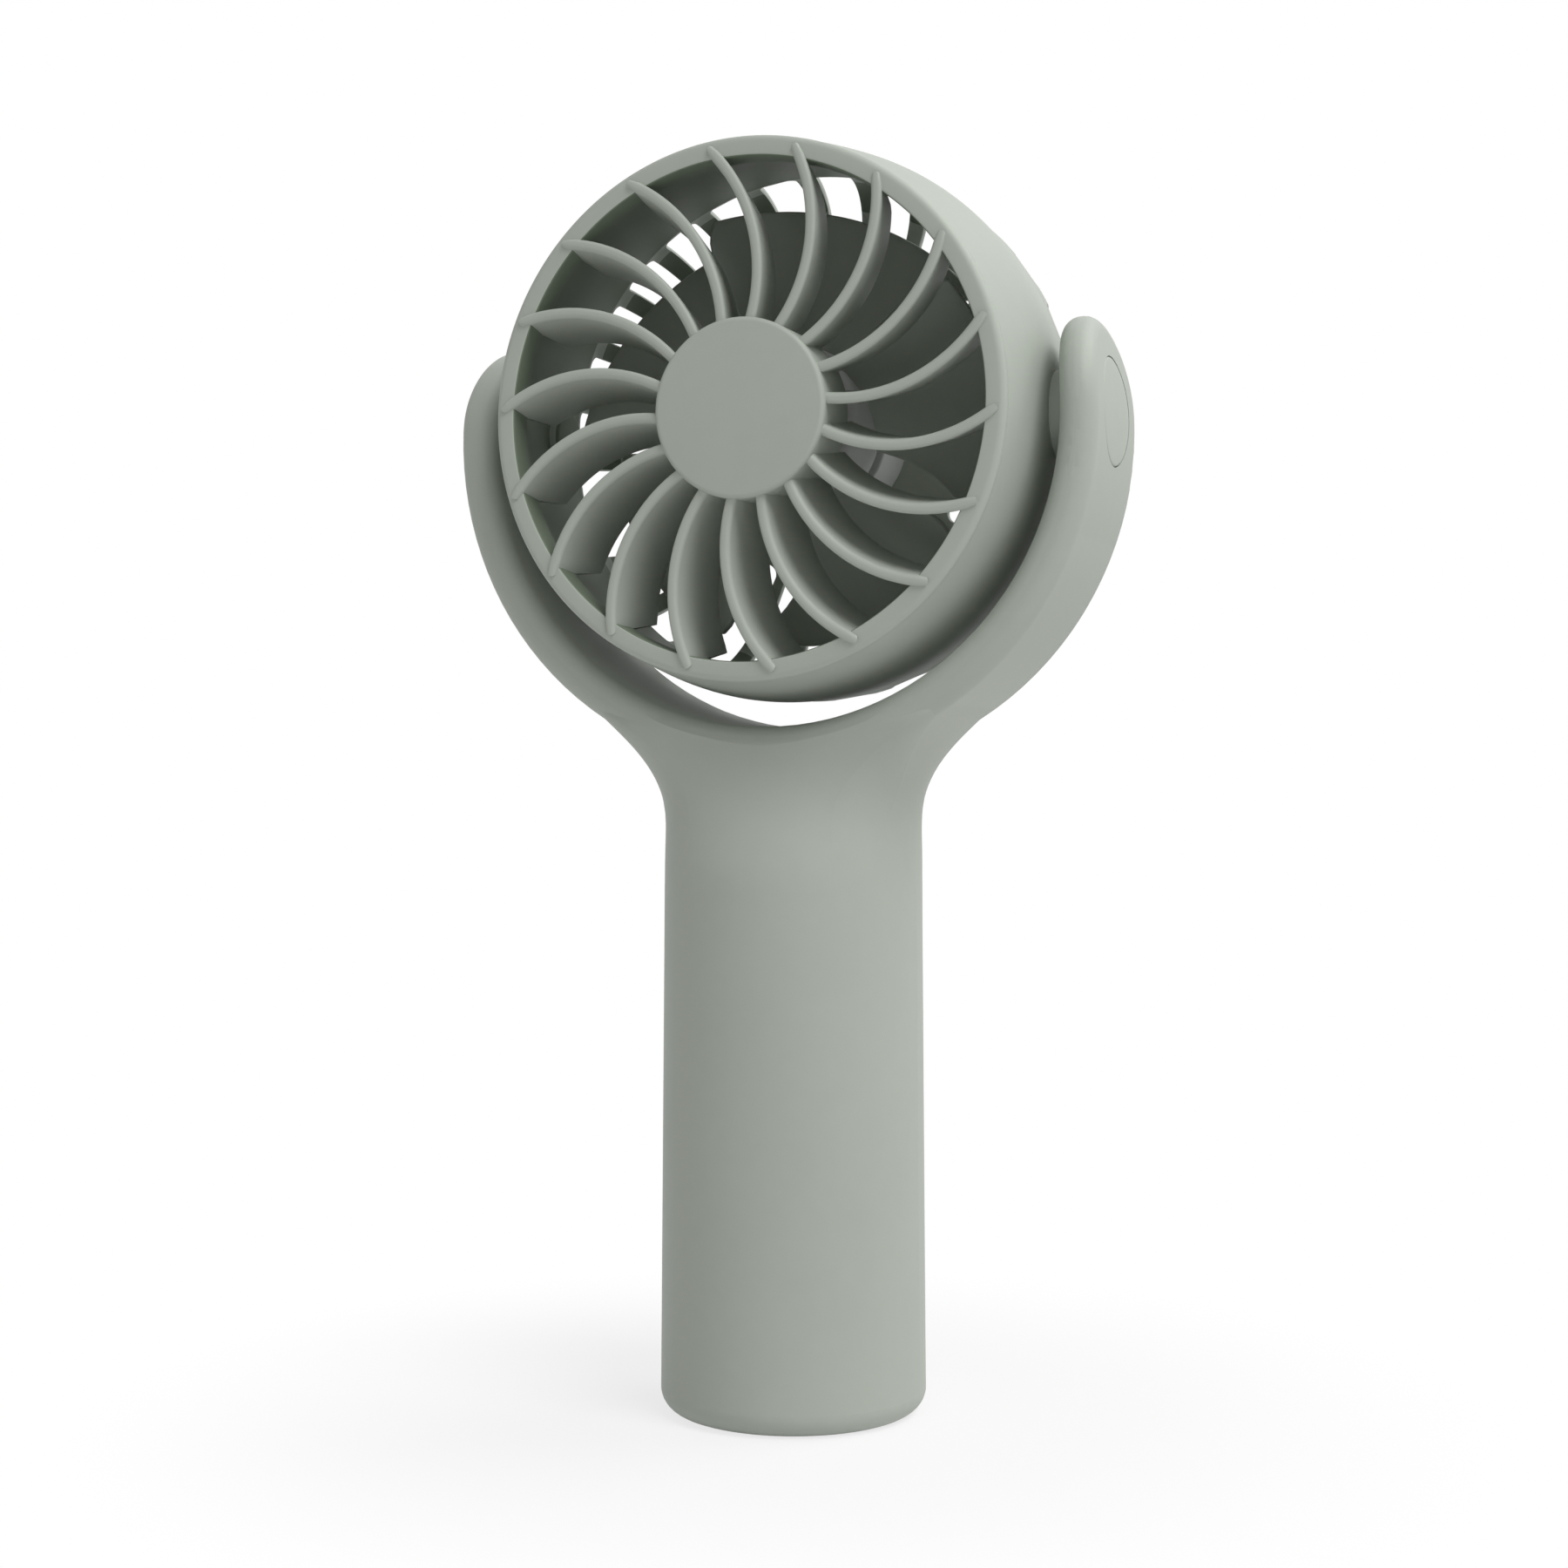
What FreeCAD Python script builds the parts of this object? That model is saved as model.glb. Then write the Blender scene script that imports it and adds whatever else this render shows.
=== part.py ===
import FreeCAD, Part
import math
import os
import re

import Sketcher

# A small battery hand fan: a round head that tilts between the two arms of a
# yoke, and the yoke moulded in one with a round grip. Millimetres, +Z up,
# +X to the right, the fan blows towards -Y. The origin is the middle of the
# flat base. Head pieces are drawn about the tilt axis and lifted to it.

doc = FreeCAD.newDocument("hand_fan")
sheet = doc.addObject("Spreadsheet::Sheet", "sizes")

# Driving dimensions: alias, value in mm or degrees, meaning.
DRIVING = [
    ("pivot_height", 145.6, "tilt axis above the base"),
    ("grip_radius", 19.15, "grip at its top"),
    ("base_radius", 19.7, "grip at its foot"),
    ("base_round", 3.4, "rounding of the foot"),
    ("grip_wall", 2.2, "wall of the grip"),
    ("yoke_gap", 2.65, "room between the head at its widest and an arm"),
    ("arm_thick", 5.45, "radius of the yoke outside over that inside"),
    ("arm_width", 27.2, "arm width, front to back"),
    ("arm_inner_round", 2.5, "rounding of the arm towards the head"),
    ("arm_outer_round", 2.6, "rounding of the arm outside"),
    ("yoke_drop", 1.1, "centre of the yoke's inside below the tilt axis"),
    ("outside_drop", 1.6, "centre of the yoke's outside below the tilt axis"),
    ("neck_round", 20.0, "hollow curve from grip to arm"),
    ("neck_morph", 9.7, "start of the neck's change of section below that curve"),
    ("neck_proud", 0.25, "neck beyond the arm, front and back"),
    ("neck_side_bow", 3.0, "half the turn of the neck's side at its top, degrees"),
    ("saddle_ease", 0.9, "extra rounding of the saddle's edge over that of the arm"),
    ("neck_sink", 0.3, "how far the neck's last section lies inside the arms"),
    ("neck_foot_turn", 38.0, "half the turn of the neck's sides at its foot, degrees"),
    ("neck_face_bow", 0.7, "half the turn of the neck's face at its top, degrees"),
    ("run_gap", 0.05, "radial gap of a turning or sliding fit"),
    ("seat_gap", 0.3, "gap between seated pieces"),
    ("cap_thick", 2.4, "plate of the base cap"),
    ("base_cap_radius", 14.6, "base cap"),
    ("cap_skirt", 9.7, "top of the base cap's skirt"),
    ("cap_skirt_wall", 1.8, "wall of that skirt"),
    ("cell_radius", 9.1, "battery cell"),
    ("cell_length", 65.0, "battery cell"),
    ("cell_back", -3.2, "axis of the cell in Y"),
    ("cradle_wall", 1.7, "wall of the battery cradle"),
    ("cradle_end", 3.4, "end wall of the battery cradle"),
    ("board_width", 21.0, "circuit board"),
    ("board_thick", 1.6, "circuit board"),
    ("board_front", 7.0, "front face of the board in Y"),
    ("screw_radius", 0.95, "shank of a board screw"),
    ("screw_head", 1.8, "head radius of a board screw"),
    ("socket_width", 8.94, "charging socket"),
    ("socket_tall", 3.26, "charging socket"),
    ("socket_length", 9.3, "charging socket"),
    ("socket_height", 19.0, "charging socket above the base"),
    ("socket_sheet", 0.3, "sheet of the socket's shell"),
    ("button_radius", 5.5, "power button"),
    ("button_height", 64.0, "power button above the base"),
    ("button_flange", 6.6, "flange that keeps the button in"),
    ("button_proud", 0.7, "button beyond the grip"),
    ("button_travel", 0.5, "stroke of the button"),
    ("switch_side", 6.0, "push switch on the board"),
    ("switch_tall", 3.7, "push switch on the board"),
    ("light_radius", 1.0, "light pipe"),
    ("light_height", 48.0, "light pipe above the base"),
    ("duct_radius", 1.6, "lead duct in the arm"),
    ("lead_radius", 1.3, "lead in that duct"),
    ("duct_start", 12.5, "duct where it leaves the grip, in X"),
    ("duct_bend", 8.0, "bend of the duct in the neck"),
    ("duct_wall", 0.9, "wall between the duct and the arm's inner face"),
    ("pin_radius", 3.0, "pivot pin"),
    ("pin_bore", 1.3, "hole through the pivot pin"),
    ("pin_head", 5.2, "head radius of the pivot pin"),
    ("pin_head_thick", 1.2, "head of the pivot pin"),
    ("pin_seat_depth", 2.5, "seat of the pin's head from the arm's inner face"),
    ("pivot_cap_radius", 7.85, "cap over the pivot"),
    ("boss_radius", 6.3, "pivot boss of the housing"),
    ("washer_thick", 0.8, "friction washer"),
    ("washer_seat", 0.5, "depth of the flat that seats the washer"),
    ("washer_radius", 6.0, "friction washer"),
    ("ring_front", 21.4, "front of the grille's rim, before the tilt axis"),
    ("rim_width", 2.95, "width of the rim's face"),
    ("ring_thick", 1.3, "front flange of the rim"),
    ("ring_skirt", 4.6, "depth of the rim's inner lip"),
    ("ring_skirt_wall", 1.2, "wall of that lip"),
    ("belly_rise", 2.35, "head's widest radius over that at the front"),
    ("swell_rise", 1.45, "rise of its first stretch"),
    ("swell_back", 9.0, "length of its first stretch"),
    ("ring_round", 1.0, "rounding of the front edge"),
    ("belly_radius", 40.8, "head at its widest"),
    ("belly_front", 2.5, "start of the widest stretch before the tilt axis"),
    ("split_fall", 0.5, "fall from the widest radius to the split"),
    ("split_back", 7.5, "joint of housing and rear cover"),
    ("spigot_length", 3.0, "spigot of the rear cover"),
    ("spigot_wall", 1.5, "spigot of the rear cover"),
    ("head_wall", 2.2, "wall of the housing at the split"),
    ("rear_back", 19.5, "rear face behind the tilt axis"),
    ("rear_wall", 2.0, "wall of the rear cover"),
    ("shoulder_round", 10.3, "width of the rear shoulder"),
    ("vent_count", 28, "slots of the rear cover"),
    ("vent_rib", 4.4, "rib between slots, degrees"),
    ("vent_inner", 21.5, "inner end of a slot"),
    ("vent_bend_in", 3.0, "where a slot turns over the shoulder, outside the flat"),
    ("vent_front", 9.2, "front end of a slot behind the tilt axis"),
    ("hub_radius", 12.8, "disc of the front grille"),
    ("hub_front", 22.6, "face of that disc before the tilt axis"),
    ("hub_depth", 10.4, "depth of the hub"),
    ("hub_wall", 1.6, "wall of the hub"),
    ("hub_round", 0.6, "rounding of the disc's edge"),
    ("vane_count", 18, "curved vanes of the front grille"),
    ("vane_arc", 24.0, "radius of a vane's curve"),
    ("vane_set", 12.6, "vane's start off the radial, degrees"),
    ("vane_root", 12.0, "root of a vane"),
    ("vane_lap", 1.7, "overlap of a vane's tip on the rim"),
    ("vane_front", 21.9, "front edge of a vane before the tilt axis"),
    ("vane_rear", 10.0, "rear edge of a vane before the tilt axis"),
    ("vane_thick", 1.3, "thickness of a vane"),
    ("vane_bevel", 0.35, "bevel along its front edge"),
    ("vane_rear_thick", 1.0, "thickness at its rear edge"),
    ("vane_lean", 1.8, "sideways lean of a vane over its depth"),
    ("vane_turn", -19.0, "turn of the whole grille, degrees"),
    ("motor_radius", 10.0, "motor can"),
    ("motor_length", 14.5, "motor can"),
    ("motor_wall", 0.8, "motor can"),
    ("motor_cup_wall", 1.8, "cup that holds the motor"),
    ("motor_cup_depth", 9.0, "cup that holds the motor"),
    ("bell_thick", 2.2, "end bell of the motor"),
    ("shaft_radius", 1.0, "motor shaft"),
    ("bush_radius", 2.6, "bush of the motor shaft"),
    ("bush_length", 2.6, "bush of the motor shaft"),
    ("core_radius", 7.4, "rotor of the motor"),
    ("core_length", 7.5, "rotor of the motor"),
    ("magnet_radius", 7.8, "inner face of the motor's magnets"),
    ("fan_count", 5, "blades of the impeller"),
    ("fan_gap", 3.3, "room round the impeller"),
    ("fan_hub_radius", 13.4, "hub of the impeller"),
    ("fan_hub_front", 7.6, "hub's face before the tilt axis"),
    ("fan_hub_depth", 12.0, "depth of the hub"),
    ("fan_hub_wall", 1.4, "wall of the hub"),
    ("fan_blade_thick", 1.2, "blade of the impeller"),
    ("fan_socket_radius", 3.0, "socket for the shaft"),
]

# Sizes that follow from the driving ones.
WORKED_OUT = [
    ("arm_inner", "belly_radius + yoke_gap"),
    ("arm_outer", "arm_inner + arm_thick"),
    ("arm_nose", "arm_inner + arm_inner_round"),
    ("arm_half", "arm_width / 2"),
    ("bow_height", "pivot_height - yoke_drop"),
    ("rim_height", "pivot_height - outside_drop"),
    ("neck_side", "grip_radius + neck_round"),
    ("neck_start", "rim_height - sqrt((arm_outer + neck_round) ^ 2 - neck_side ^ 2)"),
    ("neck_end", "rim_height - (rim_height - neck_start) * arm_outer / (arm_outer + neck_round)"),
    ("neck_foot", "neck_start - neck_morph"),
    ("neck_face", "arm_half + neck_proud"),
    ("saddle", "bow_height - arm_nose - neck_proud"),
    ("bore_radius", "grip_radius - grip_wall"),
    ("collar_radius", "base_cap_radius + run_gap"),
    ("cradle_foot", "cap_skirt + seat_gap"),
    ("cradle_inner", "cell_radius + seat_gap"),
    ("cradle_outer", "cradle_inner + cradle_wall"),
    ("cradle_length", "cell_length + 2 * seat_gap + 2 * cradle_end"),
    ("cradle_top", "cradle_foot + cradle_length"),
    ("bore_top", "cradle_top + seat_gap"),
    ("board_back", "board_front + board_thick"),
    ("pin_seat", "arm_inner + pin_seat_depth"),
    ("duct_ring", "arm_inner + duct_wall + duct_radius"),
    ("duct_join_x", "duct_ring / 2"),
    ("duct_join_z", "bow_height - duct_ring * sqrt(3) / 2"),
    ("duct_knee", "duct_join_z - (duct_join_x - duct_start) / sqrt(3)"),
    ("duct_tangent", "duct_bend / sqrt(3)"),
    ("washer_out", "arm_inner + washer_seat - run_gap"),
    ("washer_in", "washer_out - washer_thick"),
    ("boss_face", "washer_in - run_gap"),
    ("front_radius", "belly_radius - belly_rise"),
    ("ring_inner", "front_radius - rim_width"),
    ("rim_back", "ring_front - ring_thick"),
    ("skirt_outer", "ring_inner + ring_skirt_wall"),
    ("barrel_front", "skirt_outer + run_gap"),
    ("split_radius", "belly_radius - split_fall"),
    ("rear_flat", "split_radius - shoulder_round"),
    ("barrel_rear", "split_radius - head_wall"),
    ("spigot_outer", "barrel_rear - run_gap"),
    ("spigot_inner", "spigot_outer - spigot_wall"),
    ("shoulder", "rear_back - split_back"),
    ("cover_inner", "rear_back - rear_wall"),
    ("vent_pitch", "360 / vent_count"),
    ("vent_half", "(vent_pitch - vent_rib) / 2"),
    ("vent_bend", "rear_flat + vent_bend_in"),
    ("vane_x", "-vane_root * sin(vane_set)"),
    ("vane_z", "vane_root * cos(vane_set)"),
    ("vane_centre", "vane_x - vane_arc"),
    ("vane_tip", "ring_inner + vane_lap"),
    ("vane_reach", "sqrt(vane_centre ^ 2 + vane_z ^ 2)"),
    ("vane_squares", "vane_tip ^ 2 + vane_reach ^ 2 - vane_arc ^ 2"),
    ("vane_open", "acos(vane_squares / (2 * vane_tip * vane_reach)) / 1deg"),
    ("vane_end", "180 - atan(-vane_z / vane_centre) / 1deg - vane_open"),
    ("vane_sweep", "asin((vane_tip * sin(vane_end) - vane_z) / vane_arc) / 1deg"),
    ("motor_back", "cover_inner - seat_gap"),
    ("motor_front", "motor_back - motor_length"),
    ("cup_inner", "motor_radius + run_gap"),
    ("fan_hub_back", "fan_hub_depth - fan_hub_front"),
    ("fan_radius", "barrel_front - fan_gap"),
]

NECK_STATIONS = 8
for station in range(NECK_STATIONS + 1):
    # Section of the neck at each station: four corners between bowed sides. It
    # is the grip's circle at the foot, and at the top as square as the arms.
    mark = "_%d" % station
    ease = "(1 + cos(%.1f)) / 2" % (180.0 * station / NECK_STATIONS)
    last = station == NECK_STATIONS
    WORKED_OUT += [
        ("neck_rise" + mark, "(neck_end - neck_foot) * %d / %d" % (station, NECK_STATIONS)),
        ("neck_across" + mark,
         "neck_side - sqrt(neck_round ^ 2 - max(0; neck_rise%s - neck_morph) ^ 2)" % mark
         + (" - neck_sink" if last else "")),
        ("neck_settle" + mark, "min(1; neck_rise%s / (saddle - neck_foot))" % mark),
        ("neck_depth" + mark,
         "arm_half - neck_sink" if last else
         "neck_face + (grip_radius - neck_face) * (1 + cos(180 * neck_settle%s)) / 2" % mark),
        ("neck_corner" + mark, "arm_outer_round + (grip_radius - arm_outer_round) * " + ease),
        ("side_turn" + mark, "neck_side_bow + (neck_foot_turn - neck_side_bow) * " + ease),
        ("face_turn" + mark, "neck_face_bow + (neck_foot_turn - neck_face_bow) * " + ease),
        ("side_slope" + mark, "tan(side_turn%s / 2)" % mark),
        ("face_slope" + mark, "tan(face_turn%s / 2)" % mark),
        ("side_room" + mark, "neck_across%s - neck_corner%s" % (mark, mark)),
        ("face_room" + mark, "neck_depth%s - neck_corner%s" % (mark, mark)),
        ("corner_x" + mark, "(side_room%s - side_slope%s * face_room%s)" % (mark, mark, mark)
         + " / (1 - side_slope%s * face_slope%s)" % (mark, mark)),
        ("corner_y" + mark, "(face_room%s - face_slope%s * side_room%s)" % (mark, mark, mark)
         + " / (1 - side_slope%s * face_slope%s)" % (mark, mark)),
    ]


def fill_sheet():
    """Write the driving numbers, then the formulas, one alias to a row."""
    sheet.set("A1", "size")
    sheet.set("B1", "value")
    sheet.set("C1", "meaning")
    rows = [(alias, str(value), meaning) for alias, value, meaning in DRIVING]
    rows += [(alias, "=" + formula, "worked out") for alias, formula in WORKED_OUT]
    for row, (alias, content, meaning) in enumerate(rows, start=2):
        sheet.set("A%d" % row, alias)
        sheet.set("B%d" % row, content)
        sheet.set("C%d" % row, meaning)
        sheet.setAlias("B%d" % row, alias)
    doc.recompute()


def linked(expression):
    """The expression with each alias pointing into the sheet."""
    return re.sub(r"\b[a-z_]{3,}[0-9]*\b(?!\()", lambda word: "sizes." + word.group(0), expression)


def number(expression):
    """The value of an expression in the sheet's aliases."""
    return float(sheet.evalExpression(linked(expression)))


def bind(item, **sizes):
    """Tie properties of an object to expressions."""
    for name, expression in sizes.items():
        item.setExpression(name, linked(expression))
    return item


def place(item, x="0", y="0", z="0"):
    """Put an object at a place that follows the sheet."""
    for axis, expression in (("x", x), ("y", y), ("z", z)):
        item.setExpression("Placement.Base." + axis, linked(expression))
    return item


# ---------------------------------------------------------------- sketches

PLANES = {"XY": "XY_Plane", "XZ": "XZ_Plane", "YZ": "YZ_Plane"}


def new_body(label, z="0"):
    body = doc.addObject("PartDesign::Body", label)
    body.Label = label
    return place(body, z=z)


def new_sketch(body, name, plane, level="0"):
    """A sketch on an origin plane, moved along that plane's own axis."""
    sketch = body.newObject("Sketcher::SketchObject", name)
    role = PLANES[plane]
    support = [item for item in body.Origin.OriginFeatures if item.Role == role][0]
    sketch.AttachmentSupport = [(support, "")]
    sketch.MapMode = "FlatFace"
    lift = "-(%s)" % level if plane == "XZ" else level
    sketch.setExpression("AttachmentOffset.Base.z", linked(lift))
    return sketch


def pin_point(sketch, curve, end, x, y):
    """Fix one end of a curve at expressions in x and y."""
    for kind, expression in (("DistanceX", x), ("DistanceY", y)):
        rule = Sketcher.Constraint(kind, -1, 1, curve, end, number(expression))
        index = sketch.addConstraint(rule)
        sketch.setExpression("Constraints[%d]" % index, linked(expression))


def arc_between(start, end, radius, outward):
    """Arc from start to end, centre on its left if outward, else on its right."""
    middle = (start + end) * 0.5
    chord = end - start
    rise = math.sqrt(max(radius ** 2 - (chord.Length / 2) ** 2, 0.0))
    side = 1.0 if outward else -1.0
    normal = FreeCAD.Vector(-chord.y, chord.x, 0).normalize()
    centre = middle + normal * (rise * side)
    first, last = (start, end) if outward else (end, start)
    circle = Part.Circle(centre, FreeCAD.Vector(0, 0, 1), radius)
    angles = [math.atan2(p.y - centre.y, p.x - centre.x) for p in (first, last)]
    return Part.ArcOfCircle(circle, angles[0], angles[1])


def draw(sketch, corners, closed=True):
    """Join corners (x, y) with lines, or (x, y, radius) with an outward arc.

    A radius that starts with "in " makes the arc bend the other way. The
    corners run anticlockwise round the outline.
    """
    points = [FreeCAD.Vector(number(c[0]), number(c[1]), 0) for c in corners]
    count = len(corners) if closed else len(corners) - 1
    ends = []
    for index in range(count):
        start = points[index]
        end = points[(index + 1) % len(points)]
        if len(corners[index]) == 2:
            curve = sketch.addGeometry(Part.LineSegment(start, end))
            ends.append((curve, 1, 2, None))
            continue
        radius = corners[index][2]
        outward = not radius.startswith("in ")
        radius = radius if outward else radius[3:]
        curve = sketch.addGeometry(arc_between(start, end, number(radius), outward))
        first, last = (1, 2) if outward else (2, 1)
        ends.append((curve, first, last, radius))
    for index in range(count if closed else count - 1):
        here = ends[index]
        after = ends[(index + 1) % count]
        sketch.addConstraint(Sketcher.Constraint("Coincident", here[0], here[2], after[0], after[1]))
    for index in range(count):
        curve, first, last, radius = ends[index]
        pin_point(sketch, curve, first, corners[index][0], corners[index][1])
        if radius is not None:
            rule = Sketcher.Constraint("Radius", curve, number(radius))
            sketch.setExpression("Constraints[%d]" % sketch.addConstraint(rule), linked(radius))
    if not closed:
        curve, first, last, radius = ends[-1]
        pin_point(sketch, curve, last, corners[-1][0], corners[-1][1])
    return sketch


def circle_sketch(body, name, plane, radius, x="0", y="0", level="0"):
    sketch = new_sketch(body, name, plane, level)
    centre = FreeCAD.Vector(number(x), number(y), 0)
    curve = sketch.addGeometry(Part.Circle(centre, FreeCAD.Vector(0, 0, 1), number(radius)))
    pin_point(sketch, curve, 3, x, y)
    rule = Sketcher.Constraint("Radius", curve, number(radius))
    sketch.setExpression("Constraints[%d]" % sketch.addConstraint(rule), linked(radius))
    return sketch


def rounded_box(width, tall, radius, y="0"):
    """Corners of a rounded rectangle about (0, y)."""
    right = "(%s) / 2" % width
    up = "(%s) / 2" % tall
    radius = "(%s)" % radius
    return [
        ("-%s + %s" % (right, radius), "%s - %s" % (y, up)),
        ("%s - %s" % (right, radius), "%s - %s" % (y, up), radius),
        (right, "%s - %s + %s" % (y, up, radius)),
        (right, "%s + %s - %s" % (y, up, radius), radius),
        ("%s - %s" % (right, radius), "%s + %s" % (y, up)),
        ("-%s + %s" % (right, radius), "%s + %s" % (y, up), radius),
        ("-" + right, "%s + %s - %s" % (y, up, radius)),
        ("-" + right, "%s - %s + %s" % (y, up, radius), radius),
    ]


def revolve(body, name, sketch, axis="V_Axis", angle="360", cut=False):
    kind = "PartDesign::Groove" if cut else "PartDesign::Revolution"
    feature = body.newObject(kind, name)
    feature.Profile = sketch
    feature.ReferenceAxis = (sketch, [axis])
    return bind(feature, Angle=angle)


def pad(body, name, sketch, length, reverse=False, middle=False):
    feature = body.newObject("PartDesign::Pad", name)
    feature.Profile = sketch
    feature.Reversed = reverse
    feature.Midplane = middle
    return bind(feature, Length=length)


def pocket(body, name, sketch, length, reverse=False, middle=False):
    """Cut a sketch into the body and make sure that it removed something."""
    doc.recompute()
    before = body.Shape.Volume
    feature = body.newObject("PartDesign::Pocket", name)
    feature.Profile = sketch
    feature.Reversed = reverse
    feature.Midplane = middle
    bind(feature, Length=length)
    doc.recompute()
    if body.Shape.Volume > before - 1e-3:
        raise ValueError(name + " cuts nothing")
    return feature


def polar(body, name, features, axis_role, count):
    """Repeat features round an axis of the body."""
    pattern = body.newObject("PartDesign::PolarPattern", name)
    pattern.Originals = features
    axis = [item for item in body.Origin.OriginFeatures if item.Role == axis_role][0]
    pattern.Axis = (axis, [""])
    pattern.Angle = 360
    bind(pattern, Occurrences=count)
    body.Tip = pattern
    return pattern


def mirror_across(body, name, features, plane_role="YZ_Plane"):
    mirrored = body.newObject("PartDesign::Mirrored", name)
    mirrored.Originals = features
    plane = [item for item in body.Origin.OriginFeatures if item.Role == plane_role][0]
    mirrored.MirrorPlane = (plane, [""])
    body.Tip = mirrored
    return mirrored


# ------------------------------------------------------------ whole solids

def cylinder(name, radius, length, axis, x="0", y="0", z="0"):
    """Part cylinder along +X or +Y from a start point."""
    item = doc.addObject("Part::Cylinder", name)
    bind(item, Radius=radius, Height=length)
    turns = {"X": (0, 1, 0, 90), "Y": (1, 0, 0, -90)}
    ax, ay, az, angle = turns[axis]
    item.Placement = FreeCAD.Placement(
        FreeCAD.Vector(), FreeCAD.Rotation(FreeCAD.Vector(ax, ay, az), angle))
    return place(item, x, y, z)


def fuse(name, pieces):
    item = doc.addObject("Part::MultiFuse", name)
    item.Shapes = pieces
    return item


def cut(name, base, tools):
    item = doc.addObject("Part::Cut", name)
    item.Base = base
    item.Tool = tools[0] if len(tools) == 1 else fuse(name + "_tools", tools)
    return item


def common(name, first, second):
    item = doc.addObject("Part::Common", name)
    item.Base = first
    item.Tool = second
    return item


def mirrored_copy(name, source):
    item = doc.addObject("Part::Mirroring", name)
    item.Source = source
    item.Normal = FreeCAD.Vector(1, 0, 0)
    item.Base = FreeCAD.Vector(0, 0, 0)
    return item


def pair(name, source):
    """One node of two separate solids, left and right."""
    item = doc.addObject("Part::Compound", name)
    item.Links = [source, mirrored_copy(name + "_left", source)]
    return item


# ------------------------------------------------------------ grip and yoke

def make_bow():
    """The yoke's bow: an eccentric ring trimmed to round tips, then rounded off."""
    body = new_body("yoke_bow", z="pivot_height")
    outside = circle_sketch(body, "outside_ring", "XZ", "arm_outer", y="-outside_drop")
    pad(body, "outside", outside, "arm_width", middle=True)
    inside = circle_sketch(body, "inside_ring", "XZ", "arm_inner", y="-yoke_drop")
    pocket(body, "inside", inside, "2 * arm_width", middle=True)
    tips = [
        ("arm_half", "0", "arm_half"),
        ("0", "arm_half", "arm_half"),
        ("-arm_half", "0"),
        ("-2 * arm_half", "0"),
        ("-2 * arm_half", "2 * arm_outer"),
        ("2 * arm_half", "2 * arm_outer"),
        ("2 * arm_half", "0"),
    ]
    tip_outline = draw(new_sketch(body, "tip_outline", "YZ"), tips)
    pocket(body, "tip_trim", tip_outline, "4 * arm_outer", middle=True)
    round_edges(body, "inner_round", "arm_inner_round", "arm_inner", "yoke_drop")
    round_edges(body, "outer_round", "arm_outer_round", "arm_outer", "outside_drop")
    return body


def round_edges(body, name, radius, reach, drop):
    """Round the rim edges that lie on one of the bow's two circles."""
    doc.recompute()
    base = body.Tip
    chosen = []
    for index, edge in enumerate(base.Shape.Edges, start=1):
        middle = edge.valueAt((edge.FirstParameter + edge.LastParameter) / 2)
        distance = math.hypot(middle.x, middle.z + number(drop))
        if edge.Length > number("arm_half") and abs(distance - number(reach)) < 0.01:
            chosen.append("Edge%d" % index)
    feature = body.newObject("PartDesign::Fillet", name)
    feature.Base = (base, chosen)
    bind(feature, Radius=radius)
    body.Tip = feature
    return feature


def make_grip_core():
    body = new_body("grip_core")
    corners = [
        ("0", "0"),
        ("base_radius - base_round", "0", "base_round"),
        ("base_radius", "base_round"),
        ("grip_radius", "neck_foot"),
        ("0", "neck_foot"),
    ]
    sketch = draw(new_sketch(body, "grip_outline", "XZ"), corners)
    revolve(body, "grip_turn", sketch)
    return body


def make_neck():
    """Loft from the round grip to the flat-faced, tight-cornered foot of the yoke."""
    body = new_body("neck_body")
    sections = []
    for station in range(NECK_STATIONS + 1):
        mark = "_%d" % station
        side_x = "corner_x%s + neck_corner%s * cos(side_turn%s)" % (mark, mark, mark)
        side_y = "corner_y%s + neck_corner%s * sin(side_turn%s)" % (mark, mark, mark)
        face_x = "corner_x%s + neck_corner%s * sin(face_turn%s)" % (mark, mark, mark)
        face_y = "corner_y%s + neck_corner%s * cos(face_turn%s)" % (mark, mark, mark)
        side = "neck_corner%s + corner_y%s / sin(side_turn%s)" % (mark, mark, mark)
        face = "neck_corner%s + corner_x%s / sin(face_turn%s)" % (mark, mark, mark)
        corner = "neck_corner" + mark
        outline = [
            (side_x, "-(%s)" % side_y, side),
            (side_x, side_y, corner),
            (face_x, face_y, face),
            ("-(%s)" % face_x, face_y, corner),
            ("-(%s)" % side_x, side_y, side),
            ("-(%s)" % side_x, "-(%s)" % side_y, corner),
            ("-(%s)" % face_x, "-(%s)" % face_y, face),
            (face_x, "-(%s)" % face_y, corner),
        ]
        level = "neck_foot + neck_rise" + mark
        sections.append(draw(new_sketch(body, "neck_section" + mark, "XY", level), outline))
    loft = body.newObject("PartDesign::AdditiveLoft", "neck_loft")
    loft.Profile = sections[0]
    loft.Sections = sections[1:]
    return body


def make_head_space():
    """Room for the head above the saddle, with the saddle's rounded edges."""
    body = new_body("head_space", z="bow_height")
    reach = "2 * arm_width"
    edge = "arm_inner_round + saddle_ease"
    corners = [
        ("0", "-" + reach),
        ("arm_inner + " + edge, "-" + reach),
        ("arm_inner + " + edge, "-neck_face - run_gap", "in " + edge),
        ("arm_inner", "%s - neck_face - run_gap" % edge),
        ("arm_inner", "neck_face + run_gap - (%s)" % edge, "in " + edge),
        ("arm_inner + " + edge, "neck_face + run_gap"),
        ("arm_inner + " + edge, reach),
        ("0", reach),
    ]
    sketch = draw(new_sketch(body, "space_outline", "XY"), corners)
    revolve(body, "space_turn", sketch)
    return body


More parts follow.
